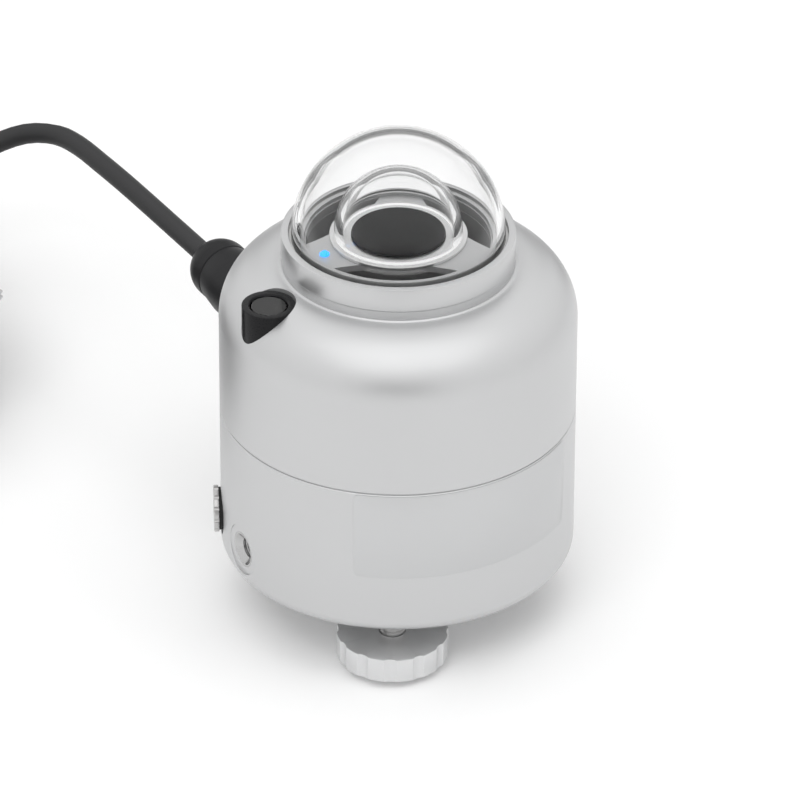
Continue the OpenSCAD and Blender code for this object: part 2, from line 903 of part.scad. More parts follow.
module board_screws() {
    top = board_z + board_t;
    color("#b8b8b8") board_places() {
        disc(board_screw_head_r, top, top + board_screw_head_h);
        disc(board_screw_r, board_z - board_screw_reach, top + cut);
    }
}

// A point of a lead, from its azimuth, distance and height
function lead_point(az, rho, z) = [-rho * sin(az), rho * cos(az), z];

module sensor_leads() {
    low = board_z + board_t;
    bend_z = stem_z - 2 * lead_hole_r;
    heights = [
        stem_z + stem_floor, stem_z, stem_z - lead_hole_r, bend_z, bend_z,
        bend_z - lead_hole_r, ledge_z, fan_z, (fan_z + low) / 2, low,
    ];
    color("#7a2020") tube([
        for (i = [0 : len(heights) - 1])
            lead_point(lead_az, sensor_lead_shares[i] * lead_rho, heights[i]),
    ], lead_r, lead_sides);
}

module fan_leads() {
    low = board_z + board_t;
    heights = [
        fan_z, fan_z - lead_hole_r, (fan_z + low) / 2, low + lead_hole_r, low,
    ];
    color("#2a2a6a") tube([
        for (i = [0 : len(heights) - 1])
            lead_point(fan_lead_az, fan_lead_shares[i] * (fan_side / 2 - lead_r),
                       heights[i]),
    ], lead_r, lead_sides);
}

module socket_leads() {
    rise = board_z - connector_z;
    back = socket_wall + socket_nut_t + socket_tail + pin_back;
    color("#404040") on_connector(inner_face_rho + socket_wall)
        for (w = pin_angles) let (x = pin_ring_r * cos(w), y = pin_ring_r * sin(w))
            tube([
                for (s = socket_lead_shares)
                    [x, (1 - s[1]) * y - s[1] * rise,
                     -back - s[0] * (socket_lead_reach + socket_lead_fan_share * y)],
            ], thin_lead_r, lead_sides);
}

// Bubble level

module on_level() {
    at_azimuth(level_az, level_rho, 0) children();
}

module level_holder() {
    color("#161616") on_level() difference() {
        edged_disc(level_r, level_z, level_top_z, 0, level_edge);
        disc(vial_r + fit, dial_z, level_top_z + cut);
    }
}

module level_dial() {
    color("#f2f2ee") on_level() disc(vial_r, dial_z, dial_z + dial_t);
}

module bubble_shape(shrink) {
    // Ball whose cap of the bubble's radius and depth hangs under the lens
    ball_r = (bubble_r * bubble_r + bubble_depth * bubble_depth) / (2 * bubble_depth);
    intersection() {
        translate([0, 0, lens_bottom_z + ball_r - bubble_depth])
            sphere(r = ball_r - shrink);
        disc(vial_r, dial_z, lens_bottom_z);
    }
}

module level_liquid() {
    color("#d8e89a", 0.5) on_level() difference() {
        disc(vial_r, dial_z + dial_t, lens_bottom_z);
        bubble_shape(0);
    }
}

module level_bubble() {
    color("#ffffff", 0.5) on_level() bubble_shape(bead_fit);
}

module level_lens() {
    color("#e8eef2", 0.4) on_level()
        edged_disc(vial_r, lens_bottom_z, lens_bottom_z + lens_t, 0, level_edge);
}

// Feet

module foot_wheel(az) {
    cut_rho = wheel_r + flute_cut_r - flute_depth;
    color("#c6c6c6") at_azimuth(az, foot_rho, 0) difference() {
        edged_disc(wheel_r, wheel_z, wheel_z + wheel_t, wheel_edge, wheel_edge);
        for (k = [0 : wheel_flutes - 1])
            rotate([0, 0, 360 * k / wheel_flutes]) translate([0, cut_rho, 0])
                disc(flute_cut_r, wheel_z - cut, wheel_z + wheel_t + cut);
        disc(foot_screw_r, wheel_z - cut, wheel_z + wheel_t + cut);
    }
}

module foot_screw(az) {
    color("#b0b0b0") at_azimuth(az, foot_rho, 0) difference() {
        edged_disc(foot_screw_r, wheel_z, foot_screw_top, 0, wheel_edge);
        disc(pad_pin_r + fit, wheel_z - cut, wheel_z + pad_pin_h);
    }
}

module foot_pad(az) {
    color("#242424") at_azimuth(az, foot_rho, 0) {
        edged_disc(pad_r, floor_z, floor_z + pad_t, pad_edge, 0);
        disc(pad_pin_r, floor_z + pad_t / 2, wheel_z + pad_pin_h - gap);
    }
}

module front_foot_wheel() { foot_wheel(front_foot_az); }
module front_foot_screw() { foot_screw(front_foot_az); }
module front_foot_pad() { foot_pad(front_foot_az); }
module back_foot_wheel() { foot_wheel(back_foot_az); }
module back_foot_screw() { foot_screw(back_foot_az); }
module back_foot_pad() { foot_pad(back_foot_az); }

module fixed_foot() {
    low = floor_z + fixed_pad_t - fixed_pad_sunk;
    color("#bdbdbd") at_azimuth(fixed_foot_az, foot_rho, 0) difference() {
        union() {
            edged_disc(fixed_foot_r, low, 0, fixed_foot_edge, 0);
            disc(foot_screw_r, -cut, fixed_stud_l);
        }
        disc(fixed_foot_r - fixed_pad_inset + fit, low - cut, low + fixed_pad_sunk);
    }
}

module fixed_foot_pad() {
    color("#242424") at_azimuth(fixed_foot_az, foot_rho, 0)
        edged_disc(fixed_foot_r - fixed_pad_inset, floor_z, floor_z + fixed_pad_t,
                   pad_edge, 0);
}

// Connector

module pin_places() {
    for (w = pin_angles) rotate([0, 0, w]) translate([pin_ring_r, 0, 0]) children();
}

module panel_socket() {
    back = -socket_wall - socket_nut_t - socket_tail;
    front = socket_flange_t + socket_nose_l;
    color("#b9b9b9") on_connector(socket_seat_rho) difference() {
        union() {
            disc(socket_barrel_r, back, front);
            edged_disc(socket_flange_r, 0, socket_flange_t, 0, collar_edge);
        }
        disc(socket_inner_r, socket_web_t, front + cut);
        ring(socket_seal_r, socket_seal_r - socket_seal_w, -cut, socket_seal_t);
        pin_places() disc(pin_r + pin_play, back - cut, socket_web_t + cut);
    }
}

module socket_seal() {
    color("#202020") on_connector(socket_seat_rho)
        ring(socket_seal_r - bead_fit, socket_seal_r - socket_seal_w + bead_fit,
             0, socket_seal_t);
}

module socket_nut() {
    color("#b0a070") on_connector(inner_face_rho) difference() {
        translate([0, 0, -socket_nut_t])
            cylinder(r = socket_nut_r, h = socket_nut_t, $fn = hexagon);
        disc(socket_barrel_r + fit, -socket_nut_t - cut, cut);
    }
}

module socket_pins() {
    back = -socket_wall - socket_nut_t - socket_tail - pin_back;
    front = socket_flange_t + socket_nose_l - pin_front_gap;
    color("#d0a850") on_connector(socket_seat_rho) pin_places()
        disc(pin_r, back, front);
}

module coupling_ring() {
    color("#242424") on_connector(ring_rho) difference() {
        edged_disc(ring_r, 0, ring_l, ring_edge, ring_edge);
        disc(socket_barrel_r + fit, -cut, ring_l);
        disc(plug_neck_r + fit, ring_thread_l, ring_l + cut);
        for (k = [0 : ring_grooves - 1]) rotate([0, 0, 360 * k / ring_grooves])
            translate([ring_r, 0, 0]) disc(ring_groove_r, -cut, ring_l + cut);
    }
}

module plug_insert() {
    low = socket_web_t + gap;
    color("#1a1a1a") on_connector(socket_seat_rho) difference() {
        disc(insert_core_r, low, low + insert_core_l);
        pin_places() disc(pin_r + pin_play, low - cut,
                          socket_flange_t + socket_nose_l);
    }
}

module plug_body() {
    neck_l = barrel_rho - neck_rho;
    cone_at = cone_rho - neck_rho;
    thread_at = cap_rho - neck_rho;
    end = thread_at + plug_thread_l;
    cavity_at = socket_web_t + gap + insert_core_l + socket_seat_rho - neck_rho;
    color("#282828") on_connector(neck_rho) difference() {
        rotate_extrude() polygon([
            [0, 0], [plug_neck_r, 0], [plug_neck_r, neck_l],
            [plug_r - ring_edge, neck_l], [plug_r, neck_l + ring_edge],
            [plug_r, cone_at], [cap_r - parting_gap, thread_at],
            [plug_thread_r, thread_at], [plug_thread_r, end], [0, end],
        ]);
        disc(insert_core_r + fit, -cut, cavity_at + cut);
        disc(plug_cavity_r, cavity_at, cone_at + plug_cavity_gap);
        disc(plug_rear_hole_r, cone_at, end + cut);
    }
}

module plug_wires() {
    low = socket_web_t + gap + insert_core_l;
    high = run_start_rho - socket_seat_rho;
    color("#b04030") on_connector(socket_seat_rho) for (w = pin_angles)
        tube([
            for (s = plug_wire_shares)
                [s[0] * pin_ring_r * cos(w), s[0] * pin_ring_r * sin(w),
                 low + s[1] * (high - low)],
        ], thin_lead_r, lead_sides);
}

module gland_cap() {
    side = cap_side_l;
    color("#242424") on_connector(cap_rho + parting_gap) difference() {
        union() {
            disc(cap_r, 0, side);
            intersection() {
                translate([0, 0, side]) sphere(r = cap_r, $fn = cap_sides);
                disc(cap_r + cut, side - cut, cap_l);
            }
        }
        disc(plug_thread_r + fit, -cut, plug_thread_l);
        disc(cable_r + gland_seal_t + fit, -cut, cap_l - gland_lip_l);
        disc(cable_r + gap, 0, cap_l + cut);
    }
}

module gland_seal() {
    color("#161616") on_connector(cable_exit_rho - gland_lip_l - gland_seal_l)
        ring(cable_r + gland_seal_t, cable_r + fit, 0, gland_seal_l);
}

// Cable

run_path = concat(
    [for (rho = [run_start_rho, cable_exit_rho])
        lead_point(connector_az, rho, connector_z)],
    run_route,
    [run_end + [cable_d, 0, 0], run_end]);

module cable_run() {
    color("#3c3c3c") tube(run_path, cable_r, run_sides);
}

// Radius and height after t turns of the coil. The first layer spirals in, the
// next one out, and so on. During each climb the spiral runs on and comes back.
function coil_radius(t) = let (
    layer = floor(t / coil_layer),
    s = t - layer * coil_layer,
    run = min(s, coil_layer_turns),
    half = coil_climb_turns / 2,
    over = half - abs(max(s - coil_layer_turns, 0) - half),
    out = run + (s > coil_layer_turns ? over : 0))
    layer % 2 == 0 ? coil_outer_r - coil_pitch * out : coil_inner_r + coil_pitch * out;
function coil_height(t) = let (
    layer = floor(t / coil_layer),
    climb = max(t - layer * coil_layer - coil_layer_turns, 0) / coil_climb_turns)
    coil_z + coil_pitch * (layer + climb);
function coil_point(t) = let (
    a = coil_start_angle + 360 * t, r = coil_radius(t))
    [coil_centre[0] + r * cos(a), coil_centre[1] + r * sin(a), coil_height(t)];

coil_end_angle = coil_start_angle + 360 * coil_turns;
coil_turn_path = [for (i = [0 : coil_turns * coil_steps]) coil_point(i / coil_steps)];
coil_end = coil_turn_path[len(coil_turn_path) - 1];
coil_end_way = [-sin(coil_end_angle), cos(coil_end_angle), 0];
coil_path = concat([run_end], coil_turn_path, [coil_end + cable_d * coil_end_way]);

// Least distance between the coil's surface and itself, past half a turn along it
function coil_least_gap() = min([
    for (i = [0 : len(coil_path) - 1])
        for (j = [i + coil_steps / 2 : 1 : len(coil_path) - 1])
            norm(coil_path[i] - coil_path[j])]) * cos(180 / coil_steps) - cable_d;
function path_length(p) = [for (i = [1 : len(p) - 1]) norm(p[i] - p[i - 1])]
    * [for (i = [1 : len(p) - 1]) 1];

module cable_coil() {
    echo(least_gap = coil_least_gap());
    echo(coil_length = path_length(coil_path), run_length = path_length(run_path));
    color("#3c3c3c") tube(coil_path, cable_r, coil_sides);
}

module coil_ties() {
    bulge = coil_pitch * coil_climb_turns / 2;
    inner = coil_inner_r - bulge - cable_r - tie_play;
    outer = coil_outer_r + bulge + cable_r + tie_play;
    top = coil_z + coil_layers * coil_pitch + cable_r + tie_play;
    color("#181818") for (a = tie_angles)
        translate([coil_centre[0], coil_centre[1], 0]) rotate([0, 0, a]) difference() {
            translate([inner - tie_t, -tie_w / 2, floor_z])
                cube([outer - inner + 2 * tie_t, tie_w, top + tie_t - floor_z]);
            translate([inner, -tie_w / 2 - cut, floor_z + tie_t])
                cube([outer - inner, tie_w + 2 * cut, top - floor_z - tie_t]);
        }
}

module at_coil_end(along) {
    translate([coil_centre[0], coil_centre[1], coil_end[2]])
        rotate([0, 0, coil_end_angle])
            translate([coil_radius(coil_turns), cable_d + along, 0]) children();
}

module end_sleeve() {
    color("#101010") at_coil_end(0) rotate([-90, 0, 0])
        edged_disc(end_sleeve_r, 0, end_sleeve_l, 0, hub_edge);
}

// An arc that leaves the sleeve's end and bends with the coil
module end_arc(share, r, from, angle) {
    x = share[0] * end_sleeve_r;
    z = share[1] * end_sleeve_r;
    at_coil_end(end_sleeve_l) translate([-end_wire_bend, 0, z])
        rotate([0, 0, from]) rotate_extrude(angle = angle)
            translate([end_wire_bend + x, 0]) circle(r = r, $fn = bead_sides);
}

module end_wires() {
    color("#8a5a30") for (share = end_wire_shares)
        end_arc(share, end_wire_r, 0, end_wire_angle);
}

module wire_ferrules() {
    color("#d8d8d8") for (share = end_wire_shares)
        end_arc(share, end_ferrule_r, end_wire_angle, end_ferrule_angle);
}

base();
upper_body();
body_seal();
body_screws();
screw_seals();
thread_insert();
label();
side_plug();
side_plug_seal();
dome_collar();
collar_seal();
outer_dome();
dome_seal();
inner_dome();
spoke_plate();
sensor_hub();
absorber();
thermopile();
hub_nut();
status_led();
fan_bracket();
fan_frame();
fan_rotor();
fan_screws();
circuit_board();
board_parts();
board_standoffs();
board_screws();
sensor_leads();
fan_leads();
socket_leads();
level_holder();
level_dial();
level_liquid();
level_bubble();
level_lens();
front_foot_wheel();
front_foot_screw();
front_foot_pad();
back_foot_wheel();
back_foot_screw();
back_foot_pad();
fixed_foot();
fixed_foot_pad();
panel_socket();
socket_seal();
socket_nut();
socket_pins();
coupling_ring();
plug_insert();
plug_wires();
plug_body();
gland_cap();
gland_seal();
cable_run();
cable_coil();
coil_ties();
end_sleeve();
end_wires();
wire_ferrules();
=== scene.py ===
"""Dressed model of a ventilated pyranometer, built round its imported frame.

The housing, domes, feet, connector and cable are modelled here with their small radii and
finishes. The pieces that are right as they come from the frame only get their material.
Lengths are in metres; sizes in the classes are in millimetres and say so.
"""

import json
import logging
import math
from collections.abc import Callable
from dataclasses import dataclass
from enum import Enum

import bmesh
import bpy
from mathutils import Matrix, Vector


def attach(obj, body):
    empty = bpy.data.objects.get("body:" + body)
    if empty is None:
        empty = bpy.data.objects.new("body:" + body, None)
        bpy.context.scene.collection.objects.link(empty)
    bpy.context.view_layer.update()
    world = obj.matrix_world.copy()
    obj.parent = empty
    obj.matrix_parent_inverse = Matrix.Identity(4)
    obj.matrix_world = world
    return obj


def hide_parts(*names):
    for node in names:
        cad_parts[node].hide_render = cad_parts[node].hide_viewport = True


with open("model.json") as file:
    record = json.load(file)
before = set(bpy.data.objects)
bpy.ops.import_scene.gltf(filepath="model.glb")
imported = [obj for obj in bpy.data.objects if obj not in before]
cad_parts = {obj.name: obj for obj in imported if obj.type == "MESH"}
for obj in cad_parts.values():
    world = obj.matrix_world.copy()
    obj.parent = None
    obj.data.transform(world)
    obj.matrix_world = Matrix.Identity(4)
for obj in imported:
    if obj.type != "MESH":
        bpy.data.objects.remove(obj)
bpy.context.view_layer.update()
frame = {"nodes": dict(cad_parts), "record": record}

MM = 0.001
FULL_TURN = 2 * math.pi
LATHE_STEPS = 144
WELD = 1e-7
LOG = logging.getLogger("pyranometer")

Colour = tuple[float, float, float]
Place = tuple[float, float, float]
Profile = list[tuple[float, float]]


class Body(Enum):
    """The rigid bodies of the frame that pieces made here ride on."""

    HOUSING = "housing"
    SIDE_PLUG = "side_plug"
    RING = "coupling_ring"
    FRONT_FOOT = "front_foot"
    BACK_FOOT = "back_foot"


class Closed(Enum):
    """How a lathe profile is closed."""

    ON_AXIS = "from axis to axis"
    LOOP = "back to its first point"


# Node groups shared by the finishes


def fill(node: bpy.types.Node, values: dict[str | int, object]) -> None:
    """Sets inputs of a node, by name or number."""
    for key, value in values.items():
        node.inputs[key].default_value = value


def added(
    nodes: bpy.types.Nodes,
    kind: str,
    values: dict[str | int, object] | None = None,
    **settings: object,
) -> bpy.types.Node:
    """Adds a node to a tree.

    Args:
        nodes: The tree's nodes.
        kind: The node's type.
        values: Its inputs, by name or number.
        settings: Its own properties, such as operation or node_tree.

    Returns:
        The node.
    """
    node = nodes.new(kind)
    for key, value in settings.items():
        setattr(node, key, value)
    fill(node, values or {})
    return node


def group_socket(
    tree: bpy.types.NodeTree, name: str, way: str, kind: str, value: object = None
) -> None:
    """Adds a socket to a node group.

    Args:
        tree: The group.
        name: The socket's name.
        way: INPUT or OUTPUT.
        kind: The socket's type.
        value: The default of an input.
    """
    socket = tree.interface.new_socket(name=name, in_out=way, socket_type=kind)
    if value is not None:
        socket.default_value = value


def new_group(name: str) -> tuple[bpy.types.NodeTree, bpy.types.Node, bpy.types.Node]:
    """Makes an empty node group.

    Args:
        name: The group's name.

    Returns:
        The group with its input and output nodes.
    """
    tree = bpy.data.node_groups.new(name, "ShaderNodeTree")
    return tree, tree.nodes.new("NodeGroupInput"), tree.nodes.new("NodeGroupOutput")


def spread_noise(
    tree: bpy.types.NodeTree, given: bpy.types.Node, detail: float
) -> tuple[bpy.types.Node, bpy.types.Node]:
    """Noise round its middle, times the group's Spread, ready to be added to something.

    Args:
        tree: The group.
        given: The group's input node, with Scale and Spread.
        detail: The noise's detail.

    Returns:
        The noise, and the sum whose third input is still free.
    """
    place = tree.nodes.new("ShaderNodeTexCoord")
    noise = added(tree.nodes, "ShaderNodeTexNoise", {"Detail": detail})
    centred = added(tree.nodes, "ShaderNodeMath", {1: 0.5}, operation="SUBTRACT")
    total = added(tree.nodes, "ShaderNodeMath", operation="MULTIPLY_ADD")
    link = tree.links.new
    link(place.outputs["Object"], noise.inputs["Vector"])
    link(given.outputs["Scale"], noise.inputs["Scale"])
    link(noise.outputs["Fac"], centred.inputs[0])
    link(centred.outputs[0], total.inputs[0])
    link(given.outputs["Spread"], total.inputs[1])
    return noise, total


def mottle_group() -> bpy.types.NodeTree:
    """A colour that drifts a little lighter and darker over the surface.

    Returns:
        The group: Colour, Spread and Scale in, Colour out.
    """
    tree, given, put = new_group("soft_mottle")
    group_socket(tree, "Colour", "INPUT", "NodeSocketColor", (0.5, 0.5, 0.5, 1.0))
    group_socket(tree, "Spread", "INPUT", "NodeSocketFloat", 0.05)
    group_socket(tree, "Scale", "INPUT", "NodeSocketFloat", 60.0)
    group_socket(tree, "Colour", "OUTPUT", "NodeSocketColor")
    scaled = spread_noise(tree, given, 4.0)[1]
    scaled.inputs[2].default_value = 1.0
    tint = added(tree.nodes, "ShaderNodeVectorMath", operation="SCALE")
    link = tree.links.new
    link(given.outputs["Colour"], tint.inputs[0])
    link(scaled.outputs[0], tint.inputs["Scale"])
    link(tint.outputs[0], put.inputs["Colour"])
    return tree


def grain_group() -> bpy.types.NodeTree:
    """Fine grain, as a roughness that varies and a height for a bump.

    Returns:
        The group: Scale, Roughness and Spread in, Roughness and Height out.
    """
    tree, given, put = new_group("fine_grain")
    group_socket(tree, "Scale", "INPUT", "NodeSocketFloat", 4000.0)
    group_socket(tree, "Roughness", "INPUT", "NodeSocketFloat", 0.4)
    group_socket(tree, "Spread", "INPUT", "NodeSocketFloat", 0.1)
    group_socket(tree, "Roughness", "OUTPUT", "NodeSocketFloat")
    group_socket(tree, "Height", "OUTPUT", "NodeSocketFloat")
    noise, mixed = spread_noise(tree, given, 2.0)
    link = tree.links.new
    link(given.outputs["Roughness"], mixed.inputs[2])
    link(mixed.outputs[0], put.inputs["Roughness"])
    link(noise.outputs["Fac"], put.inputs["Height"])
    return tree


def turning_group() -> bpy.types.NodeTree:
    """Fine rings round an upright axis, as a lathe leaves them.

    Returns:
        The group: Centre and Scale in, Height out.
    """
    tree, given, put = new_group("turning_marks")
    group_socket(tree, "Centre", "INPUT", "NodeSocketVector", (0.0, 0.0, 0.0))
    group_socket(tree, "Scale", "INPUT", "NodeSocketFloat", 3000.0)
    group_socket(tree, "Height", "OUTPUT", "NodeSocketFloat")
    place = tree.nodes.new("ShaderNodeTexCoord")
    shifted = added(tree.nodes, "ShaderNodeVectorMath", operation="SUBTRACT")
    flat = added(tree.nodes, "ShaderNodeVectorMath", {1: (1.0, 1.0, 0.0)}, operation="MULTIPLY")
    reach = added(tree.nodes, "ShaderNodeVectorMath", operation="LENGTH")
    rings = tree.nodes.new("ShaderNodeTexNoise")
    rings.noise_dimensions = "1D"
    rings.inputs["Detail"].default_value = 3.0
    link = tree.links.new
    link(place.outputs["Object"], shifted.inputs[0])
    link(given.outputs["Centre"], shifted.inputs[1])
    link(shifted.outputs[0], flat.inputs[0])
    link(flat.outputs[0], reach.inputs[0])
    link(reach.outputs["Value"], rings.inputs["W"])
    link(given.outputs["Scale"], rings.inputs["Scale"])
    link(rings.outputs["Fac"], put.inputs["Height"])
    return tree


def blank_material(name: str) -> tuple[bpy.types.Material, bpy.types.Nodes, Callable]:
    """Makes a material with nodes, and returns it with its nodes and its link maker."""
    material = bpy.data.materials.new(name)
    material.use_nodes = True
    return material, material.node_tree.nodes, material.node_tree.links.new


@dataclass(frozen=True)
class Surface:
    """A solid finish: metal, plastic, rubber or paint.

    Attributes:
        name: The material's name.
        colour: Linear base colour.
        metallic: Share of metal, 0 to 1.
        roughness: Mean roughness.
        rough_spread: How far the grain moves the roughness.
        colour_spread: How far the mottle moves the colour.
        mottle: Scale of the mottle, per metre.
        grain: Scale of the grain, per metre.
        depth: Depth of the grain's bump, in millimetres.
        coat: Weight of a clear coat.
        turned_at: Centre of turning marks in millimetres, or None.
        turned_depth: Depth of the turning marks, in millimetres.
        gloss: Strength of the highlights, 0.5 for a plain one.
    """

    name: str
    colour: Colour
    metallic: float = 0.0
    roughness: float = 0.5
    rough_spread: float = 0.1
    colour_spread: float = 0.06
    mottle: float = 60.0
    grain: float = 4000.0
    depth: float = 0.01
    coat: float = 0.0
    turned_at: tuple[float, float] | None = None
    turned_depth: float = 0.004
    gloss: float = 0.5

    def build(self, groups: dict[str, bpy.types.NodeTree]) -> bpy.types.Material:
        """Makes the material.

        Args:
            groups: The shared node groups.

        Returns:
            The material.
        """
        material, nodes, link = blank_material(self.name)
        shader = nodes["Principled BSDF"]
        shine = {"Coat Weight": self.coat, "Specular IOR Level": self.gloss}
        fill(shader, {"Metallic": self.metallic, **shine})
        colour = added(
            nodes,
            "ShaderNodeGroup",
            {
                "Colour": (*self.colour, 1.0),
                "Spread": self.colour_spread,
                "Scale": self.mottle,
            },
            node_tree=groups["mottle"],
        )
        grain = added(
            nodes,
            "ShaderNodeGroup",
            {"Scale": self.grain, "Roughness": self.roughness, "Spread": self.rough_spread},
            node_tree=groups["grain"],
        )
        bump = added(nodes, "ShaderNodeBump", {"Distance": self.depth * MM})
        link(colour.outputs["Colour"], shader.inputs["Base Color"])
        link(grain.outputs["Roughness"], shader.inputs["Roughness"])
        link(grain.outputs["Height"], bump.inputs["Height"])
        last = bump
        if self.turned_at is not None:
            turning = added(nodes, "ShaderNodeGroup", node_tree=groups["turning"])
            turning.inputs["Centre"].default_value = (
                self.turned_at[0] * MM,
                self.turned_at[1] * MM,
                0.0,
            )
            last = added(nodes, "ShaderNodeBump", {"Distance": self.turned_depth * MM})
            link(turning.outputs["Height"], last.inputs["Height"])
            link(bump.outputs["Normal"], last.inputs["Normal"])
        link(last.outputs["Normal"], shader.inputs["Normal"])
        return material


@dataclass(frozen=True)
class Clear:
    """A clear finish, such as glass or liquid, that darkens with the depth of the wall.

    Attributes:
        name: The material's name.
        colour: Linear tint of the surface.
        ior: Index of refraction.
        roughness: Roughness of the polish.
        body: Colour that a long way through the wall takes on.
        density: How soon it does, per metre.
        sheen: Strength of its reflections, 1 for bare glass.
    """

    name: str
    colour: Colour = (1.0, 1.0, 1.0)
    ior: float = 1.46
    roughness: float = 0.0
    body: Colour = (0.55, 0.57, 0.58)
    density: float = 0.0
    sheen: float = 1.0

    def build(self, groups: dict[str, bpy.types.NodeTree]) -> bpy.types.Material:
        """Makes the material.

        Args:
            groups: The shared node groups, for the faint smears of the polish.

        Returns:
            The material.
        """
        material, nodes, link = blank_material(self.name)
        shader = nodes["Principled BSDF"]
        values = {
            "Base Color": (*self.colour, 1.0),
            "Roughness": self.roughness,
            "IOR": self.ior,
            "Transmission Weight": 1.0,
            "Specular Tint": (self.sheen, self.sheen, self.sheen, 1.0),
        }
        fill(shader, values)
        smear = added(nodes, "ShaderNodeGroup", {"Scale": 90.0}, node_tree=groups["grain"])
        bump = added(nodes, "ShaderNodeBump", {"Distance": 0.0002 * MM})
        link(smear.outputs["Height"], bump.inputs["Height"])
        link(bump.outputs["Normal"], shader.inputs["Normal"])
        if self.density:
            wall = added(
                nodes,
                "ShaderNodeVolumeAbsorption",
                {"Color": (*self.body, 1.0), "Density": self.density},
            )
            link(wall.outputs["Volume"], nodes["Material Output"].inputs["Volume"])
        return material


@dataclass(frozen=True)
class Lamp:
    """A lit lens.

    Attributes:
        name: The material's name.
        colour: Linear colour of the light.
        strength: Strength of the light.
    """

    name: str
    colour: Colour
    strength: float

    def build(self, groups: dict[str, bpy.types.NodeTree]) -> bpy.types.Material:
        """Makes the material.

        Args:
            groups: The shared node groups, for the lens's faint unevenness.

        Returns:
            The material.
        """
        material, nodes, link = blank_material(self.name)
        shader = nodes["Principled BSDF"]
        fill(shader, {"Roughness": 0.25, "Emission Strength": self.strength})
        colour = added(
            nodes,
            "ShaderNodeGroup",
            {"Colour": (*self.colour, 1.0), "Scale": 900.0},
            node_tree=groups["mottle"],
        )
        link(colour.outputs["Colour"], shader.inputs["Base Color"])
        link(colour.outputs["Colour"], shader.inputs["Emission Color"])
        return material


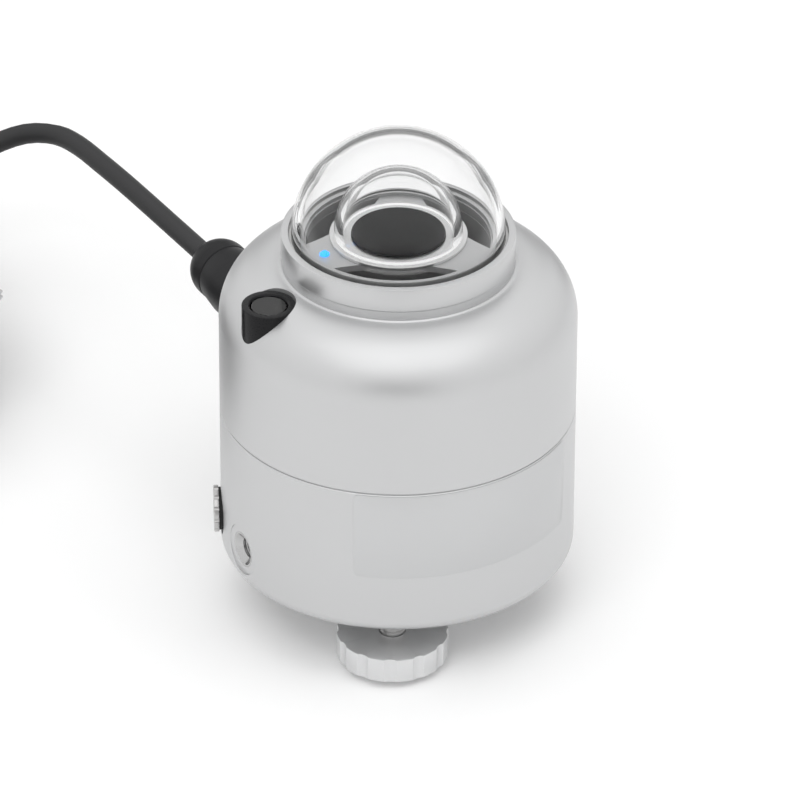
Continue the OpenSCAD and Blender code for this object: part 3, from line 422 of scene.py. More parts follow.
FINISHES = {
    "housing": Surface(
        "blasted_aluminium", (0.60, 0.603, 0.607), metallic=0.75, roughness=0.40,
        rough_spread=0.08, colour_spread=0.03, mottle=35.0, grain=5200.0, depth=0.012,
    ),
    "collar": Surface(
        "turned_aluminium", (0.60, 0.603, 0.607), metallic=0.8, roughness=0.34, rough_spread=0.06,
        colour_spread=0.03, mottle=40.0, grain=5200.0, depth=0.004, coat=0.0, turned_at=(0.0, 0.0),
        turned_depth=0.003,
    ),
    "vent_plate": Surface(
        "plate_aluminium", (0.70, 0.703, 0.707), metallic=0.6, roughness=0.42, rough_spread=0.08,
        colour_spread=0.04, mottle=60.0, grain=5200.0, depth=0.01,
    ),
    "silver_hub": Surface(
        "hub_aluminium", (0.78, 0.78, 0.78), metallic=0.85, roughness=0.30, rough_spread=0.05,
        colour_spread=0.02, mottle=80.0, grain=5200.0, depth=0.003, coat=0.0, turned_at=(0.0, 0.0),
        turned_depth=0.002,
    ),
    "wheel_metal": Surface(
        "wheel_aluminium", (0.74, 0.743, 0.747), metallic=0.6, roughness=0.34, rough_spread=0.08,
        colour_spread=0.05, mottle=90.0, grain=4200.0, depth=0.006,
    ),
    "steel": Surface(
        "stainless_steel", (0.55, 0.545, 0.54), metallic=0.95, roughness=0.32, rough_spread=0.1,
        colour_spread=0.05, mottle=150.0, grain=3600.0, depth=0.005,
    ),
    "insert_steel": Surface(
        "bright_steel", (0.50, 0.50, 0.50), metallic=1.0, roughness=0.26, rough_spread=0.05,
        colour_spread=0.03, mottle=200.0, grain=3600.0, depth=0.003,
    ),
    "brass": Surface(
        "brass", (0.62, 0.47, 0.20), metallic=1.0, roughness=0.33, rough_spread=0.1,
        colour_spread=0.06, mottle=150.0, grain=3600.0, depth=0.004,
    ),
    "gold_pins": Surface(
        "gold_flash", (0.80, 0.58, 0.24), metallic=1.0, roughness=0.25, rough_spread=0.05,
        colour_spread=0.04, mottle=200.0, grain=3600.0, depth=0.003,
    ),
    "tin": Surface(
        "tinned_metal", (0.62, 0.62, 0.62), metallic=0.95, roughness=0.35, rough_spread=0.1,
        colour_spread=0.05, mottle=200.0, grain=3600.0, depth=0.005,
    ),
    "absorber_paint": Surface(
        "absorber_black", (0.016, 0.016, 0.017), metallic=0.0, roughness=0.85, rough_spread=0.05,
        colour_spread=0.15, mottle=300.0, grain=6000.0, depth=0.02, gloss=0.12,
    ),
    "ceramic": Surface("filled_ceramic", (0.42, 0.42, 0.38), metallic=0.0, roughness=0.7),
    "seal_rubber": Surface(
        "seal_rubber", (0.018, 0.018, 0.018), metallic=0.0, roughness=0.6, rough_spread=0.1,
        colour_spread=0.1, mottle=200.0, grain=3000.0, depth=0.01, gloss=0.25,
    ),
    "glass_sealant": Surface(
        "glass_sealant", (0.80, 0.80, 0.79), metallic=0.0, roughness=0.45, rough_spread=0.1,
        colour_spread=0.05, mottle=150.0, grain=2500.0, depth=0.01,
    ),
    "pad_rubber": Surface(
        "pad_rubber", (0.030, 0.030, 0.030), metallic=0.0, roughness=0.7, rough_spread=0.1,
        colour_spread=0.12, mottle=120.0, grain=1800.0, depth=0.03, gloss=0.25,
    ),
    "label_film": Surface(
        "label_film", (0.62, 0.625, 0.63), metallic=0.35, roughness=0.36, rough_spread=0.04,
        colour_spread=0.02, mottle=50.0, grain=1500.0, depth=0.004,
    ),
    "black_moulding": Surface(
        "black_moulding", (0.013, 0.013, 0.014), metallic=0.0, roughness=0.42, rough_spread=0.12,
        colour_spread=0.12, mottle=150.0, grain=3600.0, depth=0.02, gloss=0.2,
    ),
    "cable_jacket": Surface(
        "cable_jacket", (0.038, 0.038, 0.039), metallic=0.0, roughness=0.50, rough_spread=0.12,
        colour_spread=0.10, mottle=90.0, grain=2600.0, depth=0.02, gloss=0.22,
    ),
    "tie_nylon": Surface(
        "tie_strap", (0.020, 0.020, 0.021), metallic=0.0, roughness=0.6, rough_spread=0.1,
        colour_spread=0.15, mottle=200.0, grain=1300.0, depth=0.06, gloss=0.2,
    ),
    "circuit_green": Surface(
        "solder_mask", (0.015, 0.13, 0.045), metallic=0.0, roughness=0.3, rough_spread=0.05,
        colour_spread=0.15, mottle=200.0, grain=2000.0, depth=0.01, coat=0.3,
    ),
    "chips": Surface(
        "chip_moulding", (0.025, 0.025, 0.026), metallic=0.0, roughness=0.5, rough_spread=0.1,
        colour_spread=0.1, mottle=300.0, grain=3600.0, depth=0.01,
    ),
    "red_wire": Surface("red_sleeve", (0.40, 0.03, 0.02), metallic=0.0, roughness=0.4),
    "blue_wire": Surface("blue_sleeve", (0.03, 0.07, 0.38), metallic=0.0, roughness=0.4),
    "grey_wire": Surface("grey_sleeve", (0.18, 0.18, 0.18), metallic=0.0, roughness=0.4),
    "brown_wire": Surface("brown_sleeve", (0.16, 0.07, 0.025), metallic=0.0, roughness=0.4),
    "white_wire": Surface("white_sleeve", (0.68, 0.67, 0.64), metallic=0.0, roughness=0.4),
    "level_black": Surface(
        "level_black", (0.009, 0.009, 0.010), metallic=0.0, roughness=0.28, rough_spread=0.06,
        colour_spread=0.1, mottle=200.0, grain=3000.0, depth=0.004, gloss=0.18,
    ),
    "level_white": Surface(
        "level_dial", (0.30, 0.31, 0.30), metallic=0.0, roughness=0.45, rough_spread=0.05,
        colour_spread=0.03, mottle=200.0, grain=3000.0, depth=0.002,
    ),
    "level_ring": Surface(
        "level_mark", (0.006, 0.006, 0.006), metallic=0.0, roughness=0.4, gloss=0.2,
    ),
    "outer_glass": Clear("outer_dome_glass", density=18.0, sheen=0.35),
    "inner_glass": Clear("inner_dome_glass", density=22.0, sheen=0.35),
    "level_fluid": Clear(
        "level_fluid", (0.86, 0.92, 0.80), ior=1.36, roughness=0.0, body=(0.5, 0.6, 0.4),
        density=60.0,
    ),
    "level_air": Clear("level_air", (1.0, 1.0, 1.0), ior=1.02),
    "level_glass": Clear("level_glass", (0.95, 0.97, 0.97), ior=1.47),
    "led_blue": Lamp("status_light", (0.012, 0.30, 0.85), strength=1.6),
}
MATERIALS: dict[str, bpy.types.Material] = {}


def build_finishes() -> None:
    """Builds every finish once, on the shared node groups."""
    groups = {"mottle": mottle_group(), "grain": grain_group(), "turning": turning_group()}
    for name, finish in FINISHES.items():
        MATERIALS[name] = finish.build(groups)


# Scene and mesh helpers


def placed(name: str, data: bpy.types.ID) -> bpy.types.Object:
    """Makes an object from its data and links it to the scene."""
    thing = bpy.data.objects.new(name, data)
    bpy.context.scene.collection.objects.link(thing)
    return thing


def mesh_data(name: str, mesh: bmesh.types.BMesh) -> bpy.types.Mesh:
    """Turns a mesh into data, and uses it up."""
    data = bpy.data.meshes.new(name)
    mesh.to_mesh(data)
    mesh.free()
    return data


def arc(
    centre: tuple[float, float], radius: float, start: float, end: float, steps: int
) -> Profile:
    """Points of an arc in a profile.

    Args:
        centre: The arc's centre, distance from the axis and height.
        radius: The arc's radius.
        start: First angle in degrees, from outwards towards up.
        end: Last angle in degrees.
        steps: Number of stretches.

    Returns:
        The points, both ends included.
    """
    angles = [math.radians(start + (end - start) * k / steps) for k in range(steps + 1)]
    return [(centre[0] + radius * math.cos(a), centre[1] + radius * math.sin(a)) for a in angles]


def eased(points: Profile, radius: float, closed: Closed, steps: int = 3) -> Profile:
    """Rounds the corners of a profile.

    Args:
        points: The profile's corners.
        radius: Radius of the rounding, in the profile's unit.
        closed: Whether the first and last corners are rounded too.
        steps: Stretches in each rounding.

    Returns:
        The rounded profile.
    """
    count = len(points)
    rounded: Profile = []
    for k, corner in enumerate(points):
        if closed is Closed.ON_AXIS and k in (0, count - 1):
            rounded.append(corner)
            continue
        at = Vector(corner)
        back = Vector(points[k - 1]) - at
        ahead = Vector(points[(k + 1) % count]) - at
        turn = back.angle(ahead)
        if turn > math.radians(160):
            rounded.append(corner)
            continue
        reach = min(radius / math.tan(turn / 2), 0.45 * back.length, 0.45 * ahead.length)
        first, last = at + reach * back.normalized(), at + reach * ahead.normalized()
        for step in range(steps + 1):
            share = step / steps
            mixed = (1 - share) ** 2 * first + 2 * share * (1 - share) * at + share**2 * last
            rounded.append((mixed.x, mixed.y))
    return rounded


def lathe(profile: Profile, closed: Closed, steps: int = LATHE_STEPS) -> bmesh.types.BMesh:
    """Spins a profile round the upright axis into a closed solid.

    Args:
        profile: Distances from the axis and heights, in millimetres.
        closed: How the profile is closed.
        steps: Number of steps round.

    Returns:
        The solid, in metres.
    """
    mesh = bmesh.new()
    points = [mesh.verts.new((r * MM, 0.0, z * MM)) for r, z in profile]
    edges = [mesh.edges.new(pair) for pair in zip(points, points[1:])]
    if closed is Closed.LOOP:
        edges.append(mesh.edges.new((points[-1], points[0])))
    bmesh.ops.spin(
        mesh,
        geom=points + edges,
        axis=(0, 0, 1),
        cent=(0, 0, 0),
        angle=FULL_TURN,
        steps=steps,
        use_merge=True,
    )
    bmesh.ops.remove_doubles(mesh, verts=mesh.verts, dist=WELD)
    bmesh.ops.recalc_face_normals(mesh, faces=mesh.faces)
    return mesh


def rod(radius: float, low: float, high: float, sides: int = 48) -> bmesh.types.BMesh:
    """A plain upright cylinder, in metres, from sizes in millimetres.

    Args:
        radius: Its radius.
        low: Height of its foot.
        high: Height of its top.
        sides: Number of sides.

    Returns:
        The cylinder.
    """
    mesh = bmesh.new()
    bmesh.ops.create_cone(
        mesh,
        cap_ends=True,
        segments=sides,
        radius1=radius * MM,
        radius2=radius * MM,
        depth=(high - low) * MM,
        matrix=Matrix.Translation((0, 0, (low + high) / 2 * MM)),
    )
    return mesh


def block(size: Place, centre: Place, edge: float) -> bmesh.types.BMesh:
    """A block with rounded edges.

    Args:
        size: Its sizes, in millimetres.
        centre: Its centre, in millimetres.
        edge: Radius of its edges, in millimetres.

    Returns:
        The block, in metres.
    """
    mesh = bmesh.new()
    bmesh.ops.create_cube(mesh, size=1.0)
    bmesh.ops.scale(mesh, verts=mesh.verts, vec=[side * MM for side in size])
    bmesh.ops.translate(mesh, verts=mesh.verts, vec=[place * MM for place in centre])
    bmesh.ops.bevel(
        mesh,
        geom=list(mesh.edges),
        offset=edge * MM,
        affect="EDGES",
        segments=3,
        profile=0.5,
        material=-1,
    )
    return mesh


def moved(mesh: bmesh.types.BMesh, place: Matrix) -> bmesh.types.BMesh:
    """Moves a mesh by a matrix and returns it."""
    bmesh.ops.transform(mesh, matrix=place, verts=mesh.verts)
    return mesh


def joined(parts: list[bmesh.types.BMesh]) -> bmesh.types.BMesh:
    """Joins meshes into one.

    Args:
        parts: The meshes, which are used up.

    Returns:
        One mesh with all of them.
    """
    whole = bmesh.new()
    for part in parts:
        carrier = mesh_data("carrier", part)
        whole.from_mesh(carrier)
        bpy.data.meshes.remove(carrier)
    return whole


def upright(azimuth: float, rho: float, z: float = 0.0) -> Matrix:
    """Place at an azimuth from +Y, a distance from the axis and a height, in millimetres."""
    turn = Matrix.Rotation(math.radians(azimuth), 4, "Z")
    return turn @ Matrix.Translation((0, rho * MM, z * MM))


def around(share: float, reach: float) -> Matrix:
    """Place on a circle round the upright axis, at a share of the turn; the reach in mm."""
    turn = Matrix.Rotation(FULL_TURN * share, 4, "Z")
    return turn @ Matrix.Translation((reach * MM, 0, 0))


def outward(azimuth: float, rho: float, z: float) -> Matrix:
    """The same place with +Z turned outwards."""
    return upright(azimuth, rho, z) @ Matrix.Rotation(math.radians(-90), 4, "X")


def cut_away(solid: bmesh.types.BMesh, tools: list[bmesh.types.BMesh]) -> bmesh.types.BMesh:
    """Cuts tools out of a solid.

    Args:
        solid: The solid, which is used up.
        tools: What is cut out of it, used up too.

    Returns:
        What is left.
    """
    pair = []
    for name, mesh in (("solid", solid), ("tool", joined(tools))):
        pair.append(placed(name, mesh_data(name, mesh)))
    cutting = pair[0].modifiers.new("cutting", "BOOLEAN")
    cutting.operation = "DIFFERENCE"
    cutting.solver = "EXACT"
    cutting.use_self = True
    cutting.object = pair[1]
    bpy.context.view_layer.update()
    left = bmesh.new()
    left.from_mesh(pair[0].evaluated_get(bpy.context.evaluated_depsgraph_get()).to_mesh())
    bmesh.ops.remove_doubles(left, verts=left.verts, dist=WELD)
    for thing in pair:
        data = thing.data
        bpy.data.objects.remove(thing)
        bpy.data.meshes.remove(data)
    return left


def piece(
    name: str,
    mesh: bmesh.types.BMesh,
    finish: str,
    body: Body,
    *stands_for: str,
    slot: str | None = None,
    sharp: float = 32.0,
    bevel: float = 0.0,
) -> bpy.types.Object:
    """Makes a finished piece of the object.

    Args:
        name: The piece's name.
        mesh: Its mesh, used up.
        finish: The name of its finish.
        body: The body that it rides on.
        stands_for: The frame's nodes that it replaces.
        slot: The record's slot, where it isn't the finish's name; not used.
        sharp: Angle in degrees past which an edge stays sharp.
        bevel: Width of a rounding on the sharp edges, in millimetres.

    Returns:
        The piece.
    """
    data = mesh_data(name, mesh)
    data.shade_smooth()
    data.set_sharp_from_angle(angle=math.radians(sharp))
    thing = placed(name, data)
    data.materials.append(MATERIALS[finish])
    if bevel:
        rounding = thing.modifiers.new("rounding", "BEVEL")
        rounding.width = bevel * MM
        rounding.segments = 2
        rounding.limit_method = "ANGLE"
        rounding.angle_limit = math.radians(sharp)
        rounding.harden_normals = True
    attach(thing, body.value)
    if stands_for:
        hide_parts(*stands_for)
    LOG.info("%s: %d faces on %s", name, len(data.polygons), body.value)
    return thing


@dataclass
class Studio:
    """The photograph's camera, a pale floor and soft lamps. Lengths in millimetres.

    Attributes:
        azimuth: Camera's azimuth, in degrees.
        elevation: Camera's angle above the horizon, in degrees.
        distance: Distance from the camera to the seam's centre.
        aim_z: Height of the seam.
        roll: Camera's roll, in degrees.
        lens: Focal length on a 36 mm sensor.
        shift: Shift of the picture, as shares of its width.
        floor_z: Height of the surface that the feet stand on.
    """

    azimuth: float = -28.0
    elevation: float = 31.7615
    distance: float = 1630.9
    aim_z: float = 38.5
    roll: float = 0.2194
    lens: float = 311.35
    shift: tuple[float, float] = (0.002745, 0.00055)
    floor_z: float = -14.5
    world_light: float = 0.30
    floor_shade: float = 0.90
    floor_glow: float = 0.12

    def camera(self) -> None:
        """Places the camera."""
        a, e = math.radians(self.azimuth), math.radians(self.elevation)
        back = Vector((math.sin(a) * math.cos(e), -math.cos(a) * math.cos(e), math.sin(e)))
        data = bpy.data.cameras.new("camera")
        data.lens = self.lens
        data.sensor_width = 36.0
        data.shift_x, data.shift_y = self.shift
        data.clip_start, data.clip_end = 0.05, 20.0
        camera = placed("camera", data)
        turn = (-back).to_track_quat("-Z", "Y").to_matrix().to_4x4()
        place = Matrix.Translation(Vector((0, 0, self.aim_z * MM)) + back * self.distance * MM)
        camera.matrix_world = place @ turn @ Matrix.Rotation(math.radians(self.roll), 4, "Z")
        bpy.context.scene.camera = camera

    def lamp(self, name: str, place: tuple[float, float, float], size: float, watts: float) -> None:
        """Adds a square soft lamp that looks at the object.

        Args:
            name: The lamp's name.
            place: Where it hangs, in metres.
            size: Its side, in metres.
            watts: Its power.
        """
        data = bpy.data.lights.new(name, "AREA")
        data.size = size
        data.energy = watts
        lamp = placed(name, data)
        lamp.visible_glossy = lamp.visible_transmission = False
        lamp.location = place
        lamp.rotation_mode = "QUATERNION"
        lamp.rotation_quaternion = (Vector((0, 0, 0.04)) - Vector(place)).to_track_quat("-Z", "Y")

    def backdrop(self) -> None:
        """Makes the world white where it is seen, and softer where it lights."""
        world = bpy.data.worlds.new("studio")
        bpy.context.scene.world = world
        world.use_nodes = True
        nodes, link = world.node_tree.nodes, world.node_tree.links.new
        lit = nodes["Background"]
        white = (1.0, 1.0, 1.0, 1.0)
        fill(lit, {"Color": white, "Strength": self.world_light})
        seen = added(nodes, "ShaderNodeBackground", {"Color": white, "Strength": 1.0})
        mixed = nodes.new("ShaderNodeMixShader")
        link(self.seen_rays(nodes, link), mixed.inputs["Fac"])
        link(lit.outputs["Background"], mixed.inputs[1])
        link(seen.outputs["Background"], mixed.inputs[2])
        link(mixed.outputs["Shader"], nodes["World Output"].inputs["Surface"])

    @staticmethod
    def seen_rays(nodes: bpy.types.Nodes, link: Callable) -> bpy.types.NodeSocket:
        """One for rays that show the background: from the camera, a gloss or glass.

        Args:
            nodes: The tree's nodes.
            link: The tree's function that makes a link.

        Returns:
            The socket with the mask.
        """
        path = nodes.new("ShaderNodeLightPath")
        first = added(nodes, "ShaderNodeMath", operation="MAXIMUM")
        second = added(nodes, "ShaderNodeMath", operation="MAXIMUM")
        link(path.outputs["Is Camera Ray"], first.inputs[0])
        link(path.outputs["Is Glossy Ray"], first.inputs[1])
        link(first.outputs[0], second.inputs[0])
        link(path.outputs["Is Transmission Ray"], second.inputs[1])
        return second.outputs[0]

    def floor(self) -> None:
        """Lays the floor, which keeps the object's shadow."""
        mesh = bmesh.new()
        bmesh.ops.create_grid(mesh, x_segments=1, y_segments=1, size=4.0)
        bmesh.ops.translate(mesh, verts=mesh.verts, vec=(0, 0, self.floor_z * MM))
        data = mesh_data("floor", mesh)
        floor = placed("floor", data)
        material, nodes, link = blank_material("floor_paper")
        nodes.remove(nodes["Principled BSDF"])
        shade = (self.floor_shade, self.floor_shade, self.floor_shade, 1.0)
        paper = added(nodes, "ShaderNodeBsdfDiffuse", {"Color": shade})
        glow = added(nodes, "ShaderNodeEmission", {"Strength": self.floor_glow})
        dark = added(nodes, "ShaderNodeEmission", {"Strength": 0.0})
        mixed = nodes.new("ShaderNodeMixShader")
        both = nodes.new("ShaderNodeAddShader")
        link(self.seen_rays(nodes, link), mixed.inputs["Fac"])
        link(dark.outputs["Emission"], mixed.inputs[1])
        link(glow.outputs["Emission"], mixed.inputs[2])
        link(paper.outputs["BSDF"], both.inputs[0])
        link(mixed.outputs["Shader"], both.inputs[1])
        link(both.outputs["Shader"], nodes["Material Output"].inputs["Surface"])
        data.materials.append(material)

    @staticmethod
    def card(
        name: str, place: Place, size: tuple[float, float], strength: float, in_glass: bool = False
    ) -> None:
        """Stands up a card that only glosses show, and glass if told so, turned to the object.

        Args:
            name: The card's name.
            place: Its centre, in metres.
            size: Its width and height, in metres.
            strength: How bright it is; the studio round it has 1.
            in_glass: Whether it also shows through glass.
        """
        mesh = bmesh.new()
        bmesh.ops.create_grid(mesh, x_segments=1, y_segments=1, size=0.5)
        bmesh.ops.scale(mesh, verts=mesh.verts, vec=(size[0], size[1], 1))
        turn = (Vector((0, 0, 0.06)) - Vector(place)).to_track_quat("Z", "Y").to_matrix().to_4x4()
        moved(mesh, Matrix.Translation(place) @ turn)
        data = mesh_data(name, mesh)
        card = placed(name, data)
        card.visible_camera = card.visible_diffuse = card.visible_shadow = False
        card.visible_transmission = in_glass
        material, nodes, link = blank_material(name)
        nodes.remove(nodes["Principled BSDF"])
        glow = added(nodes, "ShaderNodeEmission", {"Strength": strength})
        link(glow.outputs["Emission"], nodes["Material Output"].inputs["Surface"])
        data.materials.append(material)

    def lights(self) -> None:
        """Hangs the key, overhead and fill lamps, and the cards that give the gloss its shapes."""
        self.lamp("key", (-1.35, -1.15, 1.75), 1.5, 15.0)
        self.lamp("overhead", (0.0, 0.0, 1.5), 2.4, 24.0)
        self.lamp("fill", (1.5, -1.2, 1.1), 1.6, 4.0)
        self.card("horizon", self.behind(0.33, 0.0, 0.115), (0.34, 0.11), 0.25, True)
        for way in (-1, 1):
            end = self.behind(0.26, 27.0 * way, 0.034)
            self.card(f"horizon_end_{way}", end, (0.08, 0.075), 0.3, True)
        self.card("ceiling", self.behind(-0.42, 8.0, 1.0), (1.5, 1.1), 1.5)
        self.card("front", self.behind(-0.9, 0.0, 0.17), (0.62, 0.34), 0.3)

    def behind(self, reach: float, aside: float, height: float) -> Place:
        """A place behind the object as the camera sees it, or in front of it.

        Args:
            reach: Distance behind the object, in metres, or less than 0 for in front.
            aside: Angle to the side, in degrees.
            height: Height, in metres.

        Returns:
            The place, in metres.
        """
        a = math.radians(self.azimuth + aside)
        return (-reach * math.sin(a), reach * math.cos(a), height)


@dataclass
class Cable:
    """The cable: its free run, coil, ties, end sleeve and bare wires. Millimetres.

    Attributes:
        diameter: The cable's diameter.
        length: Its real length; not used.
        exit_at: Where it leaves the gland.
        heading: Azimuth of the connector's axis, in degrees.
        route: Chosen points of the free run.
        centre: The coil's centre.
        pitch: Step of the spiral and of the layers.
        layers: Full layers under the top one.
        layer_turns: Turns from one reversal to the next.
        last_turns: Turns of the top layer.
        inner_r: Radius of the innermost turn.
        first_z: Height of the lowest layer.
        start_angle: Where the coil starts, in degrees.
        steps: Points in a turn.
        tie_angles: Where the ties are, in degrees.
    """

    diameter: float = 5.2
    length: float = 5000.0
    exit_rho: float = 93.07
    exit_z: float = 30.0
    heading: float = 2.25
    hidden: float = 4.0
    route: tuple[tuple[float, float, float], ...] = (
        (-4.5, 112, 29.9),
        (-5.0, 124, 29.8),
        (-5.5, 136, 29.6),
        (-6.1, 148, 29.2),
        (-6.8, 160, 28.6),
        (-8.6, 169.5, 27.4),
        (-13.6, 177.5, 25.0),
        (-21.5, 182.5, 20.8),
        (-31.5, 184.6, 15.6),
        (-42.2, 185.1, 8.6),
        (-52.2, 185.1, 1.6),
        (-61.3, 185.0, -4.2),
        (-69.5, 184.9, -8.3),
    )
    centre: tuple[float, float] = (-88.0, 143.85)
    pitch: float = 5.7
    layers: int = 6
    layer_turns: float = 3.5
    last_turns: float = 0.5
    inner_r: float = 21.0
    first_z: float = -10.9
    start_angle: float = 90.0
    steps: int = 36
    tie_angles: tuple[float, ...] = (20.0, 215.0)
    tie_thick: float = 0.8
    tie_wide: float = 9.0
    tie_play: float = 0.2
    tie_edge: float = 0.3
    buckle_long: float = 6.5
    buckle_over: float = 2.0
    buckle_thick: float = 1.8
    hole_over: float = 4.0
    buckle_aside: float = 6.0
    buckle_sunk: float = 0.1
    buckle_edge: float = 0.5
    floor_z: float = -14.5
    sleeve_r: float = 2.7
    sleeve_l: float = 14.0
    wire_r: float = 0.65
    wire_bend: float = 25.0
    wire_angle: float = 35.0
    wire_places: tuple[tuple[float, float], ...] = (
        (-0.28, -0.5),
        (0.28, -0.5),
        (-0.28, 0.04),
        (0.28, 0.04),
    )
    wire_colours: tuple[str, ...] = ("brown_wire", "white_wire", "blue_wire", "level_black")

    @property
    def outer_r(self) -> float:
        """Radius of the outermost turn."""
        return self.inner_r + self.pitch * self.layer_turns

    @property
    def turns(self) -> float:
        """All turns of the coil."""
        return self.layers * (self.layer_turns + 0.5) + self.last_turns

    def coil_at(self, turn: float) -> Vector:
        """A point of the coil.

        Args:
            turn: Turns from the coil's start.

        Returns:
            The point, in millimetres.
        """
        whole = self.layer_turns + 0.5
        layer = math.floor(turn / whole)
        along = turn - layer * whole
        climbing = max(along - self.layer_turns, 0.0)
        spiral = min(along, self.layer_turns)
        if climbing:
            spiral += 0.25 - abs(climbing - 0.25)
        inward = layer % 2 == 0
        reach = self.pitch * spiral
        radius = self.outer_r - reach if inward else self.inner_r + reach
        angle = math.radians(self.start_angle) + FULL_TURN * turn
        height = self.first_z + self.pitch * (layer + climbing / 0.5)
        x, y = self.centre
        return Vector((x + radius * math.cos(angle), y + radius * math.sin(angle), height))

    def line(self) -> list[Vector]:
        """The cable's centreline from the gland to the sleeve, in metres.

        Returns:
            Its points.
        """
        ends = (self.exit_rho - self.hidden, self.exit_rho)
        first = [upright(self.heading, rho, self.exit_z).translation for rho in ends]
        x, y = self.centre
        run_end = Vector((x + self.diameter, y + self.outer_r, self.first_z))
        rough = [point / MM for point in first] + [Vector(point) for point in self.route]
        rough += [run_end + Vector((self.diameter, 0, 0)), run_end]
        smooth: list[Vector] = []
        for k in range(len(rough) - 1):
            before, after = rough[max(k - 1, 0)], rough[min(k + 2, len(rough) - 1)]
            here, there = rough[k], rough[k + 1]
            for step in range(3):
                t = step / 3
                smooth.append(
                    0.5
                    * (
                        2 * here
                        + (there - before) * t
                        + (2 * before - 5 * here + 4 * there - after) * t**2
                        + (3 * here - before - 3 * there + after) * t**3
                    )
                )
        smooth.append(run_end)
        count = round(self.turns * self.steps)
        coil = [self.coil_at(k / self.steps) for k in range(count + 1)]
        return [point * MM for point in [*smooth, *coil, coil[-1] + self.diameter * self.end_way()]]

    def end_way(self) -> Vector:
        """Direction in which the coil's last turn runs out."""
        angle = math.radians(self.start_angle) + FULL_TURN * self.turns
        return Vector((-math.sin(angle), math.cos(angle), 0.0))

    def end_place(self) -> Matrix:
        """Place of the cable's cut end.

        Returns:
            The place, in metres, with +Y running on along the cable and +X away from the centre.
        """
        angle = math.radians(self.start_angle) + FULL_TURN * self.turns
        end = self.coil_at(self.turns) + self.diameter * self.end_way()
        return Matrix.Translation(end * MM) @ Matrix.Rotation(angle, 4, "Z")

    def jacket(self) -> bpy.types.Object:
        """Makes the cable itself as a curve.

        Returns:
            The curve.
        """
        data = bpy.data.curves.new("cable", "CURVE")
        data.dimensions = "3D"
        data.bevel_depth = self.diameter / 2 * MM
        data.bevel_resolution = 5
        data.use_fill_caps = True
        spline = data.splines.new("POLY")
        points = self.line()
        spline.points.add(len(points) - 1)
        for spot, point in zip(spline.points, points):
            spot.co = (*point, 1.0)
        spline.use_smooth = True
        cable = placed("cable", data)
        data.materials.append(MATERIALS["cable_jacket"])
        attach(cable, Body.HOUSING.value)
        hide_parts("cable_run", "cable_coil")
        return cable

    def tie(self, number: int, angle: float) -> bpy.types.Object:
        """Makes one strap round the coil, with its small buckle.

        Args:
            number: The tie's number.
            angle: Where on the coil it is, in degrees.

        Returns:
            The tie.
        """
        cable_r = self.diameter / 2
        low = self.floor_z
        high = self.first_z + self.layers * self.pitch + cable_r + self.tie_play + self.tie_thick
        near = self.inner_r - self.pitch / 4 - cable_r - self.tie_play - self.tie_thick
        far = self.outer_r + self.pitch / 4 + cable_r + self.tie_play + self.tie_thick
        thick = self.tie_thick
        middle = ((near + far) / 2, 0.0, (low + high) / 2)
        band = block((far - near, self.tie_wide, high - low), middle, self.tie_edge)
        inside = (far - near - 2 * thick, self.tie_wide + self.hole_over, high - low - 2 * thick)
        hole = block(inside, middle, self.tie_edge)
        buckle = block(
            (self.buckle_long, self.tie_wide + self.buckle_over, self.buckle_thick),
            ((near + far) / 2 + self.buckle_aside, 0, high - self.buckle_sunk),
            self.buckle_edge,
        )
        place = Matrix.Translation((self.centre[0] * MM, self.centre[1] * MM, 0)) @ Matrix.Rotation(
            math.radians(angle), 4, "Z"
        )
        strap = moved(joined([cut_away(band, [hole]), buckle]), place)
        nodes = ("coil_ties",) if number == 1 else ()
        return piece(f"coil_tie_{number}", strap, "tie_nylon", Body.HOUSING, *nodes, bevel=0.12)

    def sleeve(self) -> bpy.types.Object:
        """Makes the shrunk sleeve on the cable's end."""
        outline = eased(
            [(0, -1.2), (self.sleeve_r, -1.2), (self.sleeve_r, self.sleeve_l), (0, self.sleeve_l)],
            0.5,
            Closed.ON_AXIS,
        )
        place = self.end_place() @ Matrix.Rotation(math.radians(-90), 4, "X")
        mesh = moved(lathe(outline, Closed.ON_AXIS, 40), place)
        return piece("end_sleeve_skin", mesh, "seal_rubber", Body.HOUSING, "end_sleeve")

    def wire(self, number: int, share: tuple[float, float], finish: str) -> bpy.types.Object:
        """Makes one bare-ended wire that bends on from the sleeve.

        Args:
            number: The wire's number.
            share: Its place in the sleeve's end, as shares of its radius.
            finish: Its colour.

        Returns:
            The wire.
        """
        mesh = bmesh.new()
        bmesh.ops.create_circle(mesh, cap_ends=True, segments=14, radius=self.wire_r * MM)
        x, z = (part * self.sleeve_r * MM for part in share)
        turn = Matrix.Rotation(math.radians(90), 3, "X")
        bmesh.ops.rotate(mesh, verts=mesh.verts, cent=(0, 0, 0), matrix=turn)
        bmesh.ops.translate(mesh, verts=mesh.verts, vec=(x, 0, z))
        bmesh.ops.spin(
            mesh,
            geom=list(mesh.verts) + list(mesh.edges) + list(mesh.faces),
            axis=(0, 0, 1),
            cent=(-self.wire_bend * MM, 0, 0),
            angle=math.radians(self.wire_angle),
            steps=16,
        )
        bmesh.ops.remove_doubles(mesh, verts=mesh.verts, dist=WELD)
        bmesh.ops.recalc_face_normals(mesh, faces=mesh.faces)
        moved(mesh, self.end_place() @ Matrix.Translation((0, self.sleeve_l * MM, 0)))
        nodes = ("end_wires",) if number == 1 else ()
        return piece(f"end_wire_{number}", mesh, finish, Body.HOUSING, *nodes, slot="wire_set")

    def build(self) -> None:
        cable = self.jacket()
        on_it = [self.tie(k + 1, angle) for k, angle in enumerate(self.tie_angles)]
        on_it.append(self.sleeve())
        for k, (share, colour) in enumerate(zip(self.wire_places, self.wire_colours)):
            on_it.append(self.wire(k + 1, share, colour))
        on_it.append(frame["nodes"]["wire_ferrules"])


